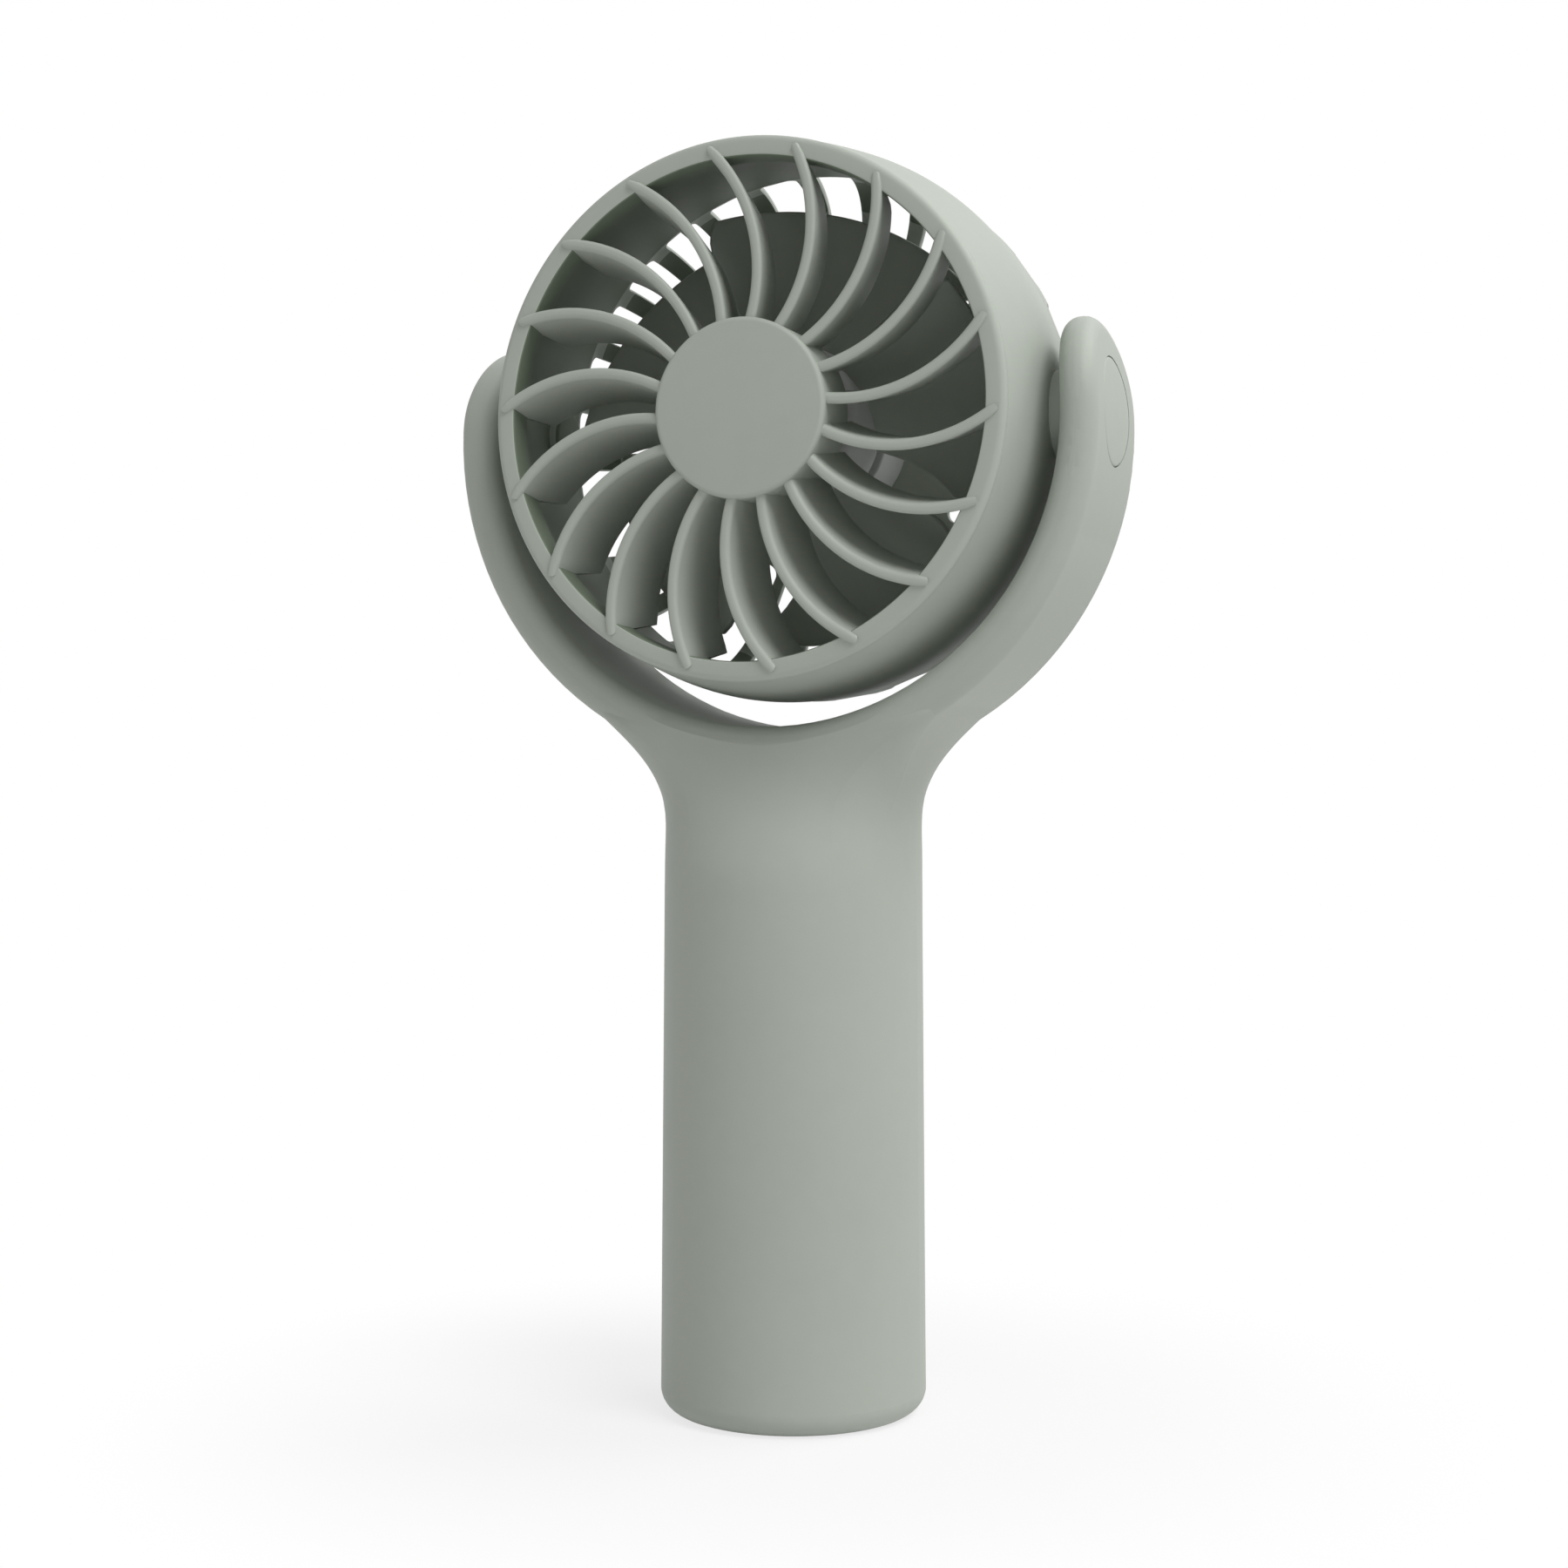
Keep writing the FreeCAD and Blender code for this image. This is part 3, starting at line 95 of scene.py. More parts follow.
def noise(tree, vector, scale, detail, roughness):
    node = tree.nodes.new("ShaderNodeTexNoise")
    node.inputs["Detail"].default_value = detail
    node.inputs["Roughness"].default_value = roughness
    if isinstance(scale, float):
        node.inputs["Scale"].default_value = scale
    else:
        tree.links.new(scale, node.inputs["Scale"])
    tree.links.new(vector, node.inputs["Vector"])
    return node.outputs["Fac"]


def blend_colour(tree, factor, first, second):
    node = tree.nodes.new("ShaderNodeMix")
    node.data_type = "RGBA"
    tree.links.new(factor, node.inputs["Factor"])
    ends = [socket for socket in node.inputs if socket.type == "RGBA"]
    for socket, value in zip(ends, (first, second)):
        if isinstance(value, tuple):
            socket.default_value = (*value, 1.0)
        else:
            tree.links.new(value, socket)
    return [socket for socket in node.outputs if socket.type == "RGBA"][0]


def mix_shaders(tree, factor, first, second):
    node = tree.nodes.new("ShaderNodeMixShader")
    tree.links.new(factor, node.inputs["Fac"])
    tree.links.new(first, node.inputs[1])
    tree.links.new(second, node.inputs[2])
    return node.outputs["Shader"]


def add_bump(tree, shader, height, strength, depth):
    bump = tree.nodes.new("ShaderNodeBump")
    bump.inputs["Strength"].default_value = strength
    bump.inputs["Distance"].default_value = depth
    tree.links.new(height, bump.inputs["Height"])
    tree.links.new(bump.outputs["Normal"], shader.inputs["Normal"])


def seen_by_eye(tree):
    """1 for what the eye sees, also in a gloss or through clear plastic."""
    path = tree.nodes.new("ShaderNodeLightPath").outputs
    seen = math_node(tree, "MAXIMUM", path["Is Camera Ray"], path["Is Glossy Ray"])
    return math_node(tree, "MAXIMUM", seen, path["Is Transmission Ray"])


def new_finish(name):
    material = bpy.data.materials.new(name)
    material.use_nodes = True
    return material, material.node_tree, material.node_tree.nodes["Principled BSDF"]


# -------------------------------------------------------- shader node groups


def new_group(name, inputs, outputs):
    """An empty shader node group with numbers in and out."""
    tree = bpy.data.node_groups.new(name, "ShaderNodeTree")
    for label, value in inputs.items():
        socket = tree.interface.new_socket(label, in_out="INPUT", socket_type="NodeSocketFloat")
        socket.default_value = value
    for label in outputs:
        tree.interface.new_socket(label, in_out="OUTPUT", socket_type="NodeSocketFloat")
    taken = tree.nodes.new("NodeGroupInput").outputs
    given = tree.nodes.new("NodeGroupOutput").inputs
    return tree, taken, given


def use_group(tree, group, **values):
    node = tree.nodes.new("ShaderNodeGroup")
    node.node_tree = group
    for label, value in values.items():
        node.inputs[label.replace("_", " ")].default_value = value
    return node.outputs


PITS_PER_METRE = 5200.0


def build_mould_grain():
    """Spark-eroded mould texture: fine pits over a broad, faint mottle."""
    mottle_scale, streak_scale = 45.0, 420.0
    streak_share, pit_gloss = 0.35, 0.6
    tree, taken, given = new_group(
        "mould_grain", {"Pits per metre": PITS_PER_METRE}, ["Height", "Tone", "Gloss"])

    def about_zero(value):
        return math_node(tree, "SUBTRACT", value, 0.5)

    place = object_place(tree)
    pits = noise(tree, place, taken["Pits per metre"], 1.0, 0.6)
    broad = about_zero(noise(tree, place, mottle_scale, 3.0, 0.55))
    streak = about_zero(noise(tree, place, streak_scale, 2.0, 0.5))
    mottle = math_node(tree, "ADD", broad, math_node(tree, "MULTIPLY", streak, streak_share))
    gloss = math_node(tree, "MULTIPLY", about_zero(pits), pit_gloss)
    tree.links.new(pits, given["Height"])
    tree.links.new(math_node(tree, "ADD", mottle, 0.5, clamp=True), given["Tone"])
    tree.links.new(math_node(tree, "ADD", gloss, broad), given["Gloss"])
    return tree


def build_edge_wear_and_highlight():
    """Where hands polish an outside edge and it is lightened, partly as wear and partly as a
    painted highlight on the rims: 0 on the flats, 1 on a sharp rim.
    """
    gain, patches = 5.0, 160.0
    tree, taken, given = new_group(
        "edge_wear_and_highlight", {"Width": 0.0006, "Strength": 1.0}, ["Rub"])
    rounded = tree.nodes.new("ShaderNodeBevel")
    rounded.samples = 4
    tree.links.new(taken["Width"], rounded.inputs["Radius"])
    match = vector_node(tree, "DOT_PRODUCT", rounded.outputs["Normal"], surface(tree, "Normal"))
    away = math_node(tree, "SUBTRACT", 1.0, match, clamp=True)
    patchy = noise(tree, object_place(tree), patches, 2.0, 0.6)
    wear_and_highlight = math_node(tree, "MULTIPLY", math_node(tree, "MULTIPLY", away, gain, clamp=True), patchy)
    tree.links.new(math_node(tree, "MULTIPLY", wear_and_highlight, taken["Strength"], clamp=True), given["Rub"])
    return tree


MOULD_GRAIN = build_mould_grain()
EDGE_WEAR_AND_HIGHLIGHT = build_edge_wear_and_highlight()

# ------------------------------------------------------------------ finishes


def moulded_plastic(name, colour, roughness=0.55, spread=0.05, wear_and_highlight=0.25, wear_and_highlight_width=0.0006,
                    coat=0.0):
    """Matt moulded plastic: colour with a faint mottle, fine pits, polished rims lightened as
    wear and as a painted highlight.
    """
    grain_gloss, rub_gloss = 0.18, 0.12
    material, tree, shader = new_finish(name)
    grain = use_group(tree, MOULD_GRAIN, Pits_per_metre=PITS_PER_METRE)
    edge = use_group(tree, EDGE_WEAR_AND_HIGHLIGHT, Width=wear_and_highlight_width, Strength=wear_and_highlight)
    darker = tuple(value * (1 - spread) for value in colour)
    lighter = tuple(min(1.0, value * (1 + spread)) for value in colour)
    # Lighter rims: worn plastic, and also a painted highlight where rounded edges catch the
    # light.
    worn_and_highlit = tuple(min(1.0, value * 1.22 + 0.01) for value in colour)
    body = blend_colour(tree, grain["Tone"], darker, lighter)
    tree.links.new(blend_colour(tree, edge["Rub"], body, worn_and_highlit), shader.inputs["Base Color"])
    grained = math_node(tree, "MULTIPLY", grain["Gloss"], grain_gloss)
    polish = math_node(tree, "MULTIPLY", edge["Rub"], rub_gloss)
    rough = math_node(tree, "SUBTRACT", math_node(tree, "ADD", grained, roughness), polish,
                      clamp=True)
    tree.links.new(rough, shader.inputs["Roughness"])
    add_bump(tree, shader, grain["Height"], 0.35, 0.00002)
    tint = (value / max(colour) for value in colour)
    shader.inputs["IOR"].default_value = 1.48
    shader.inputs["Specular Tint"].default_value = (*tint, 1)
    shader.inputs["Coat Weight"].default_value = coat
    return material


def brushed_metal(name, colour, roughness=0.3):
    """Bare metal with fine lines and a little stain."""
    lines, stretched, stains, line_gloss = 2600.0, 12.0, 220.0, 0.2
    material, tree, shader = new_finish(name)
    place = object_place(tree)
    stretch = tree.nodes.new("ShaderNodeMapping")
    stretch.inputs["Scale"].default_value = (1.0, stretched, stretched)
    tree.links.new(place, stretch.inputs["Vector"])
    scratch = noise(tree, stretch.outputs["Vector"], lines / stretched, 2.0, 0.6)
    stain = noise(tree, place, stains, 3.0, 0.5)
    darker = tuple(value * 0.8 for value in colour)
    tree.links.new(blend_colour(tree, stain, darker, colour), shader.inputs["Base Color"])
    rough = math_node(tree, "ADD", math_node(tree, "MULTIPLY", scratch, line_gloss),
                      roughness - line_gloss / 2)
    tree.links.new(rough, shader.inputs["Roughness"])
    add_bump(tree, shader, scratch, 0.3, 0.00001)
    shader.inputs["Metallic"].default_value = 1.0
    return material


def frosted_plastic(name):
    """Cloudy plastic that lets some light through."""
    material, tree, shader = new_finish(name)
    grain = use_group(tree, MOULD_GRAIN, Pits_per_metre=9000.0)
    cloudy = blend_colour(tree, grain["Tone"], (0.78, 0.8, 0.78), (0.92, 0.94, 0.92))
    tree.links.new(cloudy, shader.inputs["Base Color"])
    shader.inputs["Roughness"].default_value = 0.25
    shader.inputs["Transmission Weight"].default_value = 0.35
    return material


def paint_duct_shade(material, beyond, within, colour):
    """Painted shade: darken the walls that face the fan's axis between two radii, in place of the
    shade that falls inside the duct.
    """
    tree = material.node_tree
    base = tree.nodes["Principled BSDF"].inputs["Base Color"]
    spoke = vector_node(tree, "SUBTRACT", object_place(tree), AXIS)
    spoke = vector_node(tree, "MULTIPLY", spoke, (1.0, 0.0, 1.0))
    reach = vector_node(tree, "LENGTH", spoke)
    facing = vector_node(tree, "DOT_PRODUCT", vector_node(tree, "NORMALIZE", spoke),
                         surface(tree, "Normal"))
    shade_mask = math_node(tree, "LESS_THAN", facing, -0.6)
    for operation, radius in (("GREATER_THAN", beyond), ("LESS_THAN", within)):
        shade_mask = math_node(tree, "MULTIPLY", shade_mask, math_node(tree, operation, reach, radius))
    tree.links.new(blend_colour(tree, shade_mask, base.links[0].from_socket, colour), base)


SAGE = (0.415, 0.447, 0.399)
# Colour of the painted shade on the duct's inner walls.
PAINTED_DUCT_SHADE = (0.155, 0.188, 0.140)

SHELL = moulded_plastic("sage_shell", SAGE)
GRILLE = moulded_plastic("sage_grille", SAGE, wear_and_highlight_width=0.0004)
BARREL = moulded_plastic("sage_barrel", SAGE)
BLADE = moulded_plastic("sage_blades", SAGE, roughness=0.6, wear_and_highlight=0.1)
BLACK = moulded_plastic("black_liner", (0.02, 0.02, 0.021), roughness=0.5, spread=0.2)
BOARD = moulded_plastic("board_lacquer", (0.02, 0.11, 0.05), roughness=0.32, coat=0.3)
MAGNET = moulded_plastic("sintered_magnet", (0.09, 0.09, 0.095), roughness=0.6, spread=0.15)
WRAP = moulded_plastic("cell_wrap", (0.06, 0.16, 0.3), roughness=0.25, coat=0.5)
WASHER = moulded_plastic("washer_white", (0.75, 0.75, 0.72), roughness=0.4)
LEAD = moulded_plastic("lead_jacket", (0.03, 0.03, 0.032), roughness=0.45)
STEEL = brushed_metal("bright_steel", (0.62, 0.62, 0.61))
BRASS = brushed_metal("turned_brass", (0.72, 0.53, 0.25))
MOTOR = brushed_metal("dark_zinc_plate", (0.17, 0.18, 0.165), roughness=0.5)
COPPER = brushed_metal("copper_windings", (0.75, 0.34, 0.2), roughness=0.35)
LIGHT = frosted_plastic("light_pipe")

# Painted shade inside the duct, on the barrel's inner wall and the grille's lip.
paint_duct_shade(BARREL, 0.0350, 0.0389, PAINTED_DUCT_SHADE)
paint_duct_shade(GRILLE, 0.0353, 0.0360, PAINTED_DUCT_SHADE)

# The solids that stay in view. The others get a piece of their own below.
SOLID_FINISHES = {
    "handle_shell": SHELL, "base_cap": SHELL, "power_button": SHELL, "battery_cell": WRAP,
    "battery_cradle": BLACK, "circuit_board": BOARD, "board_screws": STEEL,
    "charging_socket": STEEL, "push_switch": BLACK, "light_pipe": LIGHT, "arm_lead": LEAD,
    "pivot_pins": STEEL, "friction_washers": WASHER, "motor_can": MOTOR,
    "motor_end_bell": BLACK, "motor_bush": BRASS, "motor_magnet": MAGNET,
    "motor_shaft": STEEL, "motor_rotor": COPPER,
}

for solid, solid_finish in SOLID_FINISHES.items():
    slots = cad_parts[solid].data.materials
    slots.clear()
    slots.append(solid_finish)

# -------------------------------------------------------------- mesh helpers


def soften(corners, steps=6):
    """Points of an outline whose corners (x, y, radius) are rounded off."""
    points = []
    count = len(corners)
    for index, (x, y, radius) in enumerate(corners):
        here = Vector((x, y))
        if radius <= 0:
            points.append(here)
            continue
        back = (Vector(corners[index - 1][:2]) - here).normalized()
        ahead = (Vector(corners[(index + 1) % count][:2]) - here).normalized()
        half = back.angle(ahead) / 2
        centre = here + (back + ahead).normalized() * radius / math.sin(half)
        first = here + back * radius / math.tan(half) - centre
        last = here + ahead * radius / math.tan(half) - centre
        turn = first.angle(last)
        for step in range(steps + 1):
            part = step / steps
            points.append(centre + (first * math.sin((1 - part) * turn)
                                    + last * math.sin(part * turn)) / math.sin(turn))
    return points


def smooth_line(knots, steps):
    """Points of a smooth line through the knots (Catmull-Rom)."""
    line = [Vector(knot) for knot in knots]
    ends = [line[0] * 2 - line[1]] + line + [line[-1] * 2 - line[-2]]
    points = []
    for index in range(1, len(ends) - 2):
        a, b, c, d = ends[index - 1:index + 3]
        for step in range(steps):
            t = step / steps
            points.append(0.5 * (b * 2 + (c - a) * t + (a * 2 - b * 5 + c * 4 - d) * t * t
                                 + (b * 3 - a - c * 3 + d) * t * t * t))
    points.append(line[-1])
    return points


def join_loops(build, first, second, closed=True):
    """Quads between two loops of as many points."""
    count = len(first)
    for index in range(count if closed else count - 1):
        follow = (index + 1) % count
        build.faces.new((first[index], first[follow], second[follow], second[index]))


def turn_outline(build, outline, steps, axis="Y", centre=(0, 0, 0)):
    """Turn a closed outline (radius, place on the axis) about the axis."""
    rings = []
    for step in range(steps):
        angle = math.tau * step / steps
        side, rise = math.sin(angle), math.cos(angle)
        ring = []
        for radius, along in outline:
            if axis == "Y":
                point = Vector((radius * side, along, radius * rise))
            else:
                point = Vector((along, radius * side, radius * rise))
            ring.append(build.verts.new(point + Vector(centre)))
        rings.append(ring)
    on_axis = [radius < 1e-9 for radius, along in outline]
    for first, second in zip(rings, rings[1:] + rings[:1]):
        for index in range(len(outline)):
            follow = (index + 1) % len(outline)
            if not (on_axis[index] and on_axis[follow]):
                build.faces.new((first[index], first[follow], second[follow], second[index]))


def mesh_of(build, name):
    mesh = bpy.data.meshes.new(name)
    build.to_mesh(mesh)
    build.free()
    return mesh


def add_turned(mesh, outline):
    """Add a form turned about the fan's axis to a mesh that is in its place."""
    build = bmesh.new()
    build.from_mesh(mesh)
    turn_outline(build, outline, 128, centre=AXIS)
    build.to_mesh(mesh)
    build.free()


def finish_mesh(mesh):
    """Weld, turn the faces outwards and shade smooth up to the crease angle."""
    weld, crease = 1e-6, math.radians(38.0)
    build = bmesh.new()
    build.from_mesh(mesh)
    bmesh.ops.remove_doubles(build, verts=build.verts, dist=weld)
    bmesh.ops.dissolve_degenerate(build, edges=build.edges, dist=weld)
    bmesh.ops.recalc_face_normals(build, faces=build.faces)
    build.to_mesh(mesh)
    build.free()
    mesh.shade_smooth()
    mesh.set_sharp_from_angle(angle=crease)
    mesh.update()


def new_item(name, data):
    item = bpy.data.objects.new(name, data)
    bpy.context.scene.collection.objects.link(item)
    return item


def add_piece(name, mesh, body, nodes, finish=None):
    """Put a finished mesh in the scene in place of its solids."""
    item = new_item(name, mesh)
    if finish is not None:
        mesh.materials.clear()
        mesh.materials.append(finish)
    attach(item, body)
    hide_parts(*nodes)


# ------------------------------------------------------- geometry node trees


class RoundTree:
    """A geometry node tree for a pattern about the fan's axis, with named inputs."""

    def __init__(self, name, sizes):
        self.tree = bpy.data.node_groups.new(name, "GeometryNodeTree")
        inputs = [("Geometry", "Geometry"), ("Count", "Int"), ("Turn", "Float"),
                  ("Height", "Float"), ("Finish", "Material")]
        inputs += [(size, "Float") for size in sizes]
        sockets = self.tree.interface
        for label, kind in inputs:
            sockets.new_socket(label, in_out="INPUT", socket_type="NodeSocket" + kind)
        sockets.new_socket("Geometry", in_out="OUTPUT", socket_type="NodeSocketGeometry")
        self.taken = self.tree.nodes.new("NodeGroupInput").outputs
        self.given = self.tree.nodes.new("NodeGroupOutput").inputs

    def feed(self, socket, value):
        if isinstance(value, bpy.types.NodeSocket):
            self.tree.links.new(value, socket)
        else:
            socket.default_value = value

    def add(self, kind, settings=None, **inputs):
        node = self.tree.nodes.new(kind)
        for label, value in (settings or {}).items():
            setattr(node, label, value)
        for label, value in inputs.items():
            self.feed(node.inputs[label.replace("_", " ")], value)
        return node

    def calc(self, operation, first, second=0.0, clamp=False):
        node = self.add("ShaderNodeMath", {"operation": operation, "use_clamp": clamp})
        self.feed(node.inputs[0], first)
        self.feed(node.inputs[1], second)
        return node.outputs[0]

    def plus(self, first, second):
        return self.calc("ADD", first, second)

    def minus(self, first, second):
        return self.calc("SUBTRACT", first, second)

    def times(self, first, second):
        return self.calc("MULTIPLY", first, second)

    def ease(self, value, start, low, high):
        """Low up to the start value, then smoothly to high at 1."""
        node = self.add("ShaderNodeMapRange", {"interpolation_type": "SMOOTHSTEP"}, Value=value,
                        From_Min=start, From_Max=1.0, To_Min=low, To_Max=high)
        return node.outputs[0]

    def point(self, x=0.0, y=0.0, z=0.0):
        return self.add("ShaderNodeCombineXYZ", X=x, Y=y, Z=z).outputs[0]

    def repeat_round(self, element):
        """Copies of one element about the Y axis, made real."""
        places = self.add("GeometryNodePoints", Count=self.taken["Count"])
        index = self.add("GeometryNodeInputIndex").outputs[0]
        pitch = self.calc("DIVIDE", math.tau, self.taken["Count"])
        angle = self.plus(self.times(index, pitch), self.taken["Turn"])
        copies = self.add("GeometryNodeInstanceOnPoints", Points=places.outputs[0],
                          Instance=element, Rotation=self.point(y=angle))
        return self.add("GeometryNodeRealizeInstances", Geometry=copies.outputs[0]).outputs[0]

    def close(self, geometry):
        """Lift everything to the tilt axis and give it its finish."""
        lifted = self.add("GeometryNodeTransform", Geometry=geometry,
                          Translation=self.point(z=self.taken["Height"]))
        finished = self.add("GeometryNodeSetMaterial", Geometry=lifted.outputs[0],
                            Material=self.taken["Finish"])
        self.feed(self.given["Geometry"], finished.outputs[0])
        return self.tree


def build_repeat_tree():
    """One element of a round pattern, repeated about the fan's axis and welded."""
    tree = RoundTree("round_pattern", ["Weld"])
    copies = tree.repeat_round(tree.taken["Geometry"])
    welded = tree.add("GeometryNodeMergeByDistance", Geometry=copies, Distance=tree.taken["Weld"])
    return tree.close(welded.outputs[0])


def build_vane_tree():
    """Swirl of vanes: a rounded bar bent on an arc, leaning and thinning over its depth."""
    tree = RoundTree("swirl_of_vanes", [
        "Front", "Rear", "Thickness", "Rear thickness", "Edge round", "Lean", "Arc radius",
        "Axis X", "Axis Z", "Sweep", "Rear sweep", "Lip depth", "Tip taper", "Tip dip"])
    taken, plus, minus, times = tree.taken, tree.plus, tree.minus, tree.times

    # A straight bar, one unit long, with rounded edges.
    depth = minus(taken["Front"], taken["Rear"])
    line = tree.add("GeometryNodeCurvePrimitiveLine", Start=(0, 0, 0), End=(0, 0, 1))
    path = tree.add("GeometryNodeResampleCurve", Curve=line.outputs[0], Count=44)
    section = tree.add("GeometryNodeCurvePrimitiveQuadrilateral", Width=taken["Thickness"],
                       Height=depth)
    edge = tree.add("GeometryNodeFilletCurve", {"mode": "POLY"}, Curve=section.outputs[0],
                    Radius=taken["Edge round"], Count=5, Limit_Radius=True)
    bar = tree.add("GeometryNodeCurveToMesh", Curve=path.outputs[0],
                   Profile_Curve=edge.outputs[0], Fill_Caps=True)

    # Each point's place in the bar: across it, down its depth and along it.
    position = tree.add("GeometryNodeInputPosition").outputs[0]
    across, down, along = tree.add("ShaderNodeSeparateXYZ", Vector=position).outputs
    rear = tree.calc("ADD", tree.calc("DIVIDE", down, depth), 0.5, clamp=True)
    behind = tree.calc("DIVIDE", times(rear, depth), taken["Lip depth"], clamp=True)

    # The bar thins towards its rear edge and its tip, and leans to one side.
    thin = tree.ease(along, 0.95, 1.0, taken["Tip taper"])
    rear_share = tree.calc("DIVIDE", taken["Rear thickness"], taken["Thickness"])
    width = plus(1.0, times(rear, minus(rear_share, 1.0)))
    offset = minus(times(times(across, thin), width), times(taken["Lean"], rear))

    # Bend it on the arc. Its front runs out over the rim and dips there, and the
    # rest ends sooner, inside the lip.
    shorter = times(behind, minus(taken["Rear sweep"], taken["Sweep"]))
    angle = times(along, plus(taken["Sweep"], shorter))
    radius = plus(taken["Arc radius"], offset)
    dip = times(tree.ease(along, 0.97, 0.0, taken["Tip dip"]), minus(1.0, behind))
    x = plus(taken["Axis X"], times(radius, tree.calc("COSINE", angle)))
    y = plus(minus(times(rear, depth), taken["Front"]), dip)
    z = plus(taken["Axis Z"], times(radius, tree.calc("SINE", angle)))
    bent = tree.add("GeometryNodeSetPosition", Geometry=bar.outputs[0],
                    Position=tree.point(x, y, z))

    joined = tree.add("GeometryNodeJoinGeometry")
    tree.tree.links.new(tree.repeat_round(bent.outputs[0]), joined.inputs[0])
    tree.tree.links.new(taken["Geometry"], joined.inputs[0])
    return tree.close(joined.outputs[0])


def run_tree(name, mesh, tree, values):
    """The plain mesh that the tree makes from a start mesh."""
    item = new_item(name, mesh)
    modifier = item.modifiers.new(name, "NODES")
    modifier.node_group = tree
    for socket in tree.interface.items_tree:
        if socket.name in values:
            modifier[socket.identifier] = values[socket.name]
    graph = bpy.context.evaluated_depsgraph_get()
    result = bpy.data.meshes.new_from_object(item.evaluated_get(graph), depsgraph=graph)
    bpy.data.objects.remove(item)
    result.name = name
    return result


REPEAT_TREE = build_repeat_tree()

# ------------------------------------------------------------ front and barrel


def make_grille():
    """Front grille: rounded rim and disc, and 18 vanes between them."""
    disc_radius, disc_bore = 0.0128, 0.0112
    disc_front, disc_face, disc_rear = 0.0226, 0.0210, 0.0122
    build = bmesh.new()
    turn_outline(build, soften([
        (RIM_INNER, -RIM_FRONT, 0.00035),
        (RIM_OUTER, -RIM_FRONT, 0.0010),
        (RIM_OUTER, -RIM_BACK, 0.00008),
        (LIP_OUTER, -RIM_BACK, 0),
        (LIP_OUTER, -LIP_BACK, 0.0002),
        (RIM_INNER, -LIP_BACK, 0.0003)]), FINE_ROUND)
    turn_outline(build, soften([
        (0, -disc_front, 0),
        (disc_radius, -disc_front, 0.0007),
        (disc_radius, -disc_rear, 0.0003),
        (disc_bore, -disc_rear, 0.0003),
        (disc_bore, -disc_face, 0.0005),
        (0, -disc_face, 0)], 7), 160)

    # The vanes' arc: its radius, and its middle from where the vane leaves the disc.
    arc, root, set_angle = 0.024, 0.012, math.radians(12.6)
    axis_x = -root * math.sin(set_angle) - arc
    axis_z = root * math.cos(set_angle)

    def sweep_to(reach, offset=0.0):
        """Angle on the vane's arc at which it is so far from the fan's axis."""
        away = math.hypot(axis_x, axis_z)
        ring = arc + offset
        share = (reach ** 2 - away ** 2 - ring ** 2) / (2 * away * ring)
        return math.atan2(axis_z, axis_x) - math.acos(share)

    mesh = run_tree("front_grille", mesh_of(build, "grille_start"), build_vane_tree(), {
        "Count": 18, "Turn": math.radians(-21.4), "Height": TILT_HEIGHT, "Finish": GRILLE,
        "Front": 0.0219, "Rear": 0.0100, "Thickness": 0.0016, "Rear thickness": 0.0012,
        "Edge round": 0.00062, "Lean": 0.0021,
        "Arc radius": arc, "Axis X": axis_x, "Axis Z": axis_z,
        "Sweep": sweep_to(0.0373), "Rear sweep": sweep_to(0.0352, -0.0009),
        "Lip depth": 0.0022, "Tip taper": 0.80, "Tip dip": 0.0001})
    finish_mesh(mesh)
    add_piece("front_grille_swirl", mesh, "head", ["front_grille"])


def make_barrel():
    """Barrel of the head with a smooth swell, and its pivot bosses, closed inside."""
    boss_root, boss_bore, boss_radius = 0.0396, 0.00305, 0.0063
    blind_end, blind_floor, blind_root = 0.0366, 0.0373, 0.0392
    blind_top, blind_foot, blind_bore = 0.0044, 0.0052, 0.0034
    build = bmesh.new()
    outside = smooth_line([(RIM_OUTER, -RIM_BACK), (0.0399, -0.0111), (0.0408, -0.0025),
                           (SPLIT_RADIUS, SPLIT)], 10)
    inside = smooth_line([(0.0388, SPLIT), (0.0386, 0.004), (0.0372, -0.012),
                          (SEAT_RADIUS, -LIP_BACK)], 6)
    front_edge = Vector((SEAT_RADIUS, -RIM_BACK))
    turn_outline(build, outside + inside + [front_edge], FINE_ROUND)
    for side in (-1, 1):
        boss = soften([
            (boss_bore, side * boss_root, 0),
            (boss_bore, side * BOSS_FACE, 0.0002),
            (boss_radius, side * BOSS_FACE, 0.0003),
            (boss_radius, side * boss_root, 0)])
        blind = soften([
            (0, side * blind_end, 0),
            (blind_top, side * blind_end, 0.0009),
            (blind_foot, side * blind_root, 0),
            (blind_bore, side * blind_root, 0),
            (blind_bore, side * blind_floor, 0.0003),
            (0, side * blind_floor, 0)])
        for outline in (boss, blind):
            turn_outline(build, outline, SMALL_ROUND, "X")
    mesh = mesh_of(build, "head_barrel")
    mesh.transform(Matrix.Translation(AXIS))
    finish_mesh(mesh)
    add_piece("head_barrel", mesh, "head", ["head_housing"], BARREL)


# ---------------------------------------------------------------- rear cover
# A flat back that bends over a shoulder. A place in its wall is a length from
# the middle, measured over the skin, an angle about the axis, and a depth.

COVER_SLOTS = 28
COVER_WALL = 0.0013
COVER_FLAT = 0.0300         # radius of the flat back
COVER_BACK = 0.0195         # how far the flat back lies behind the axis
COVER_SHOULDER = 0.01042    # radius of the shoulder's bend
COVER_SPLIT = COVER_FLAT + COVER_SHOULDER * math.radians(98.7)
COVER_PLATE = 0.0196        # radius of the plain middle
HALF_SECTOR = math.pi / COVER_SLOTS

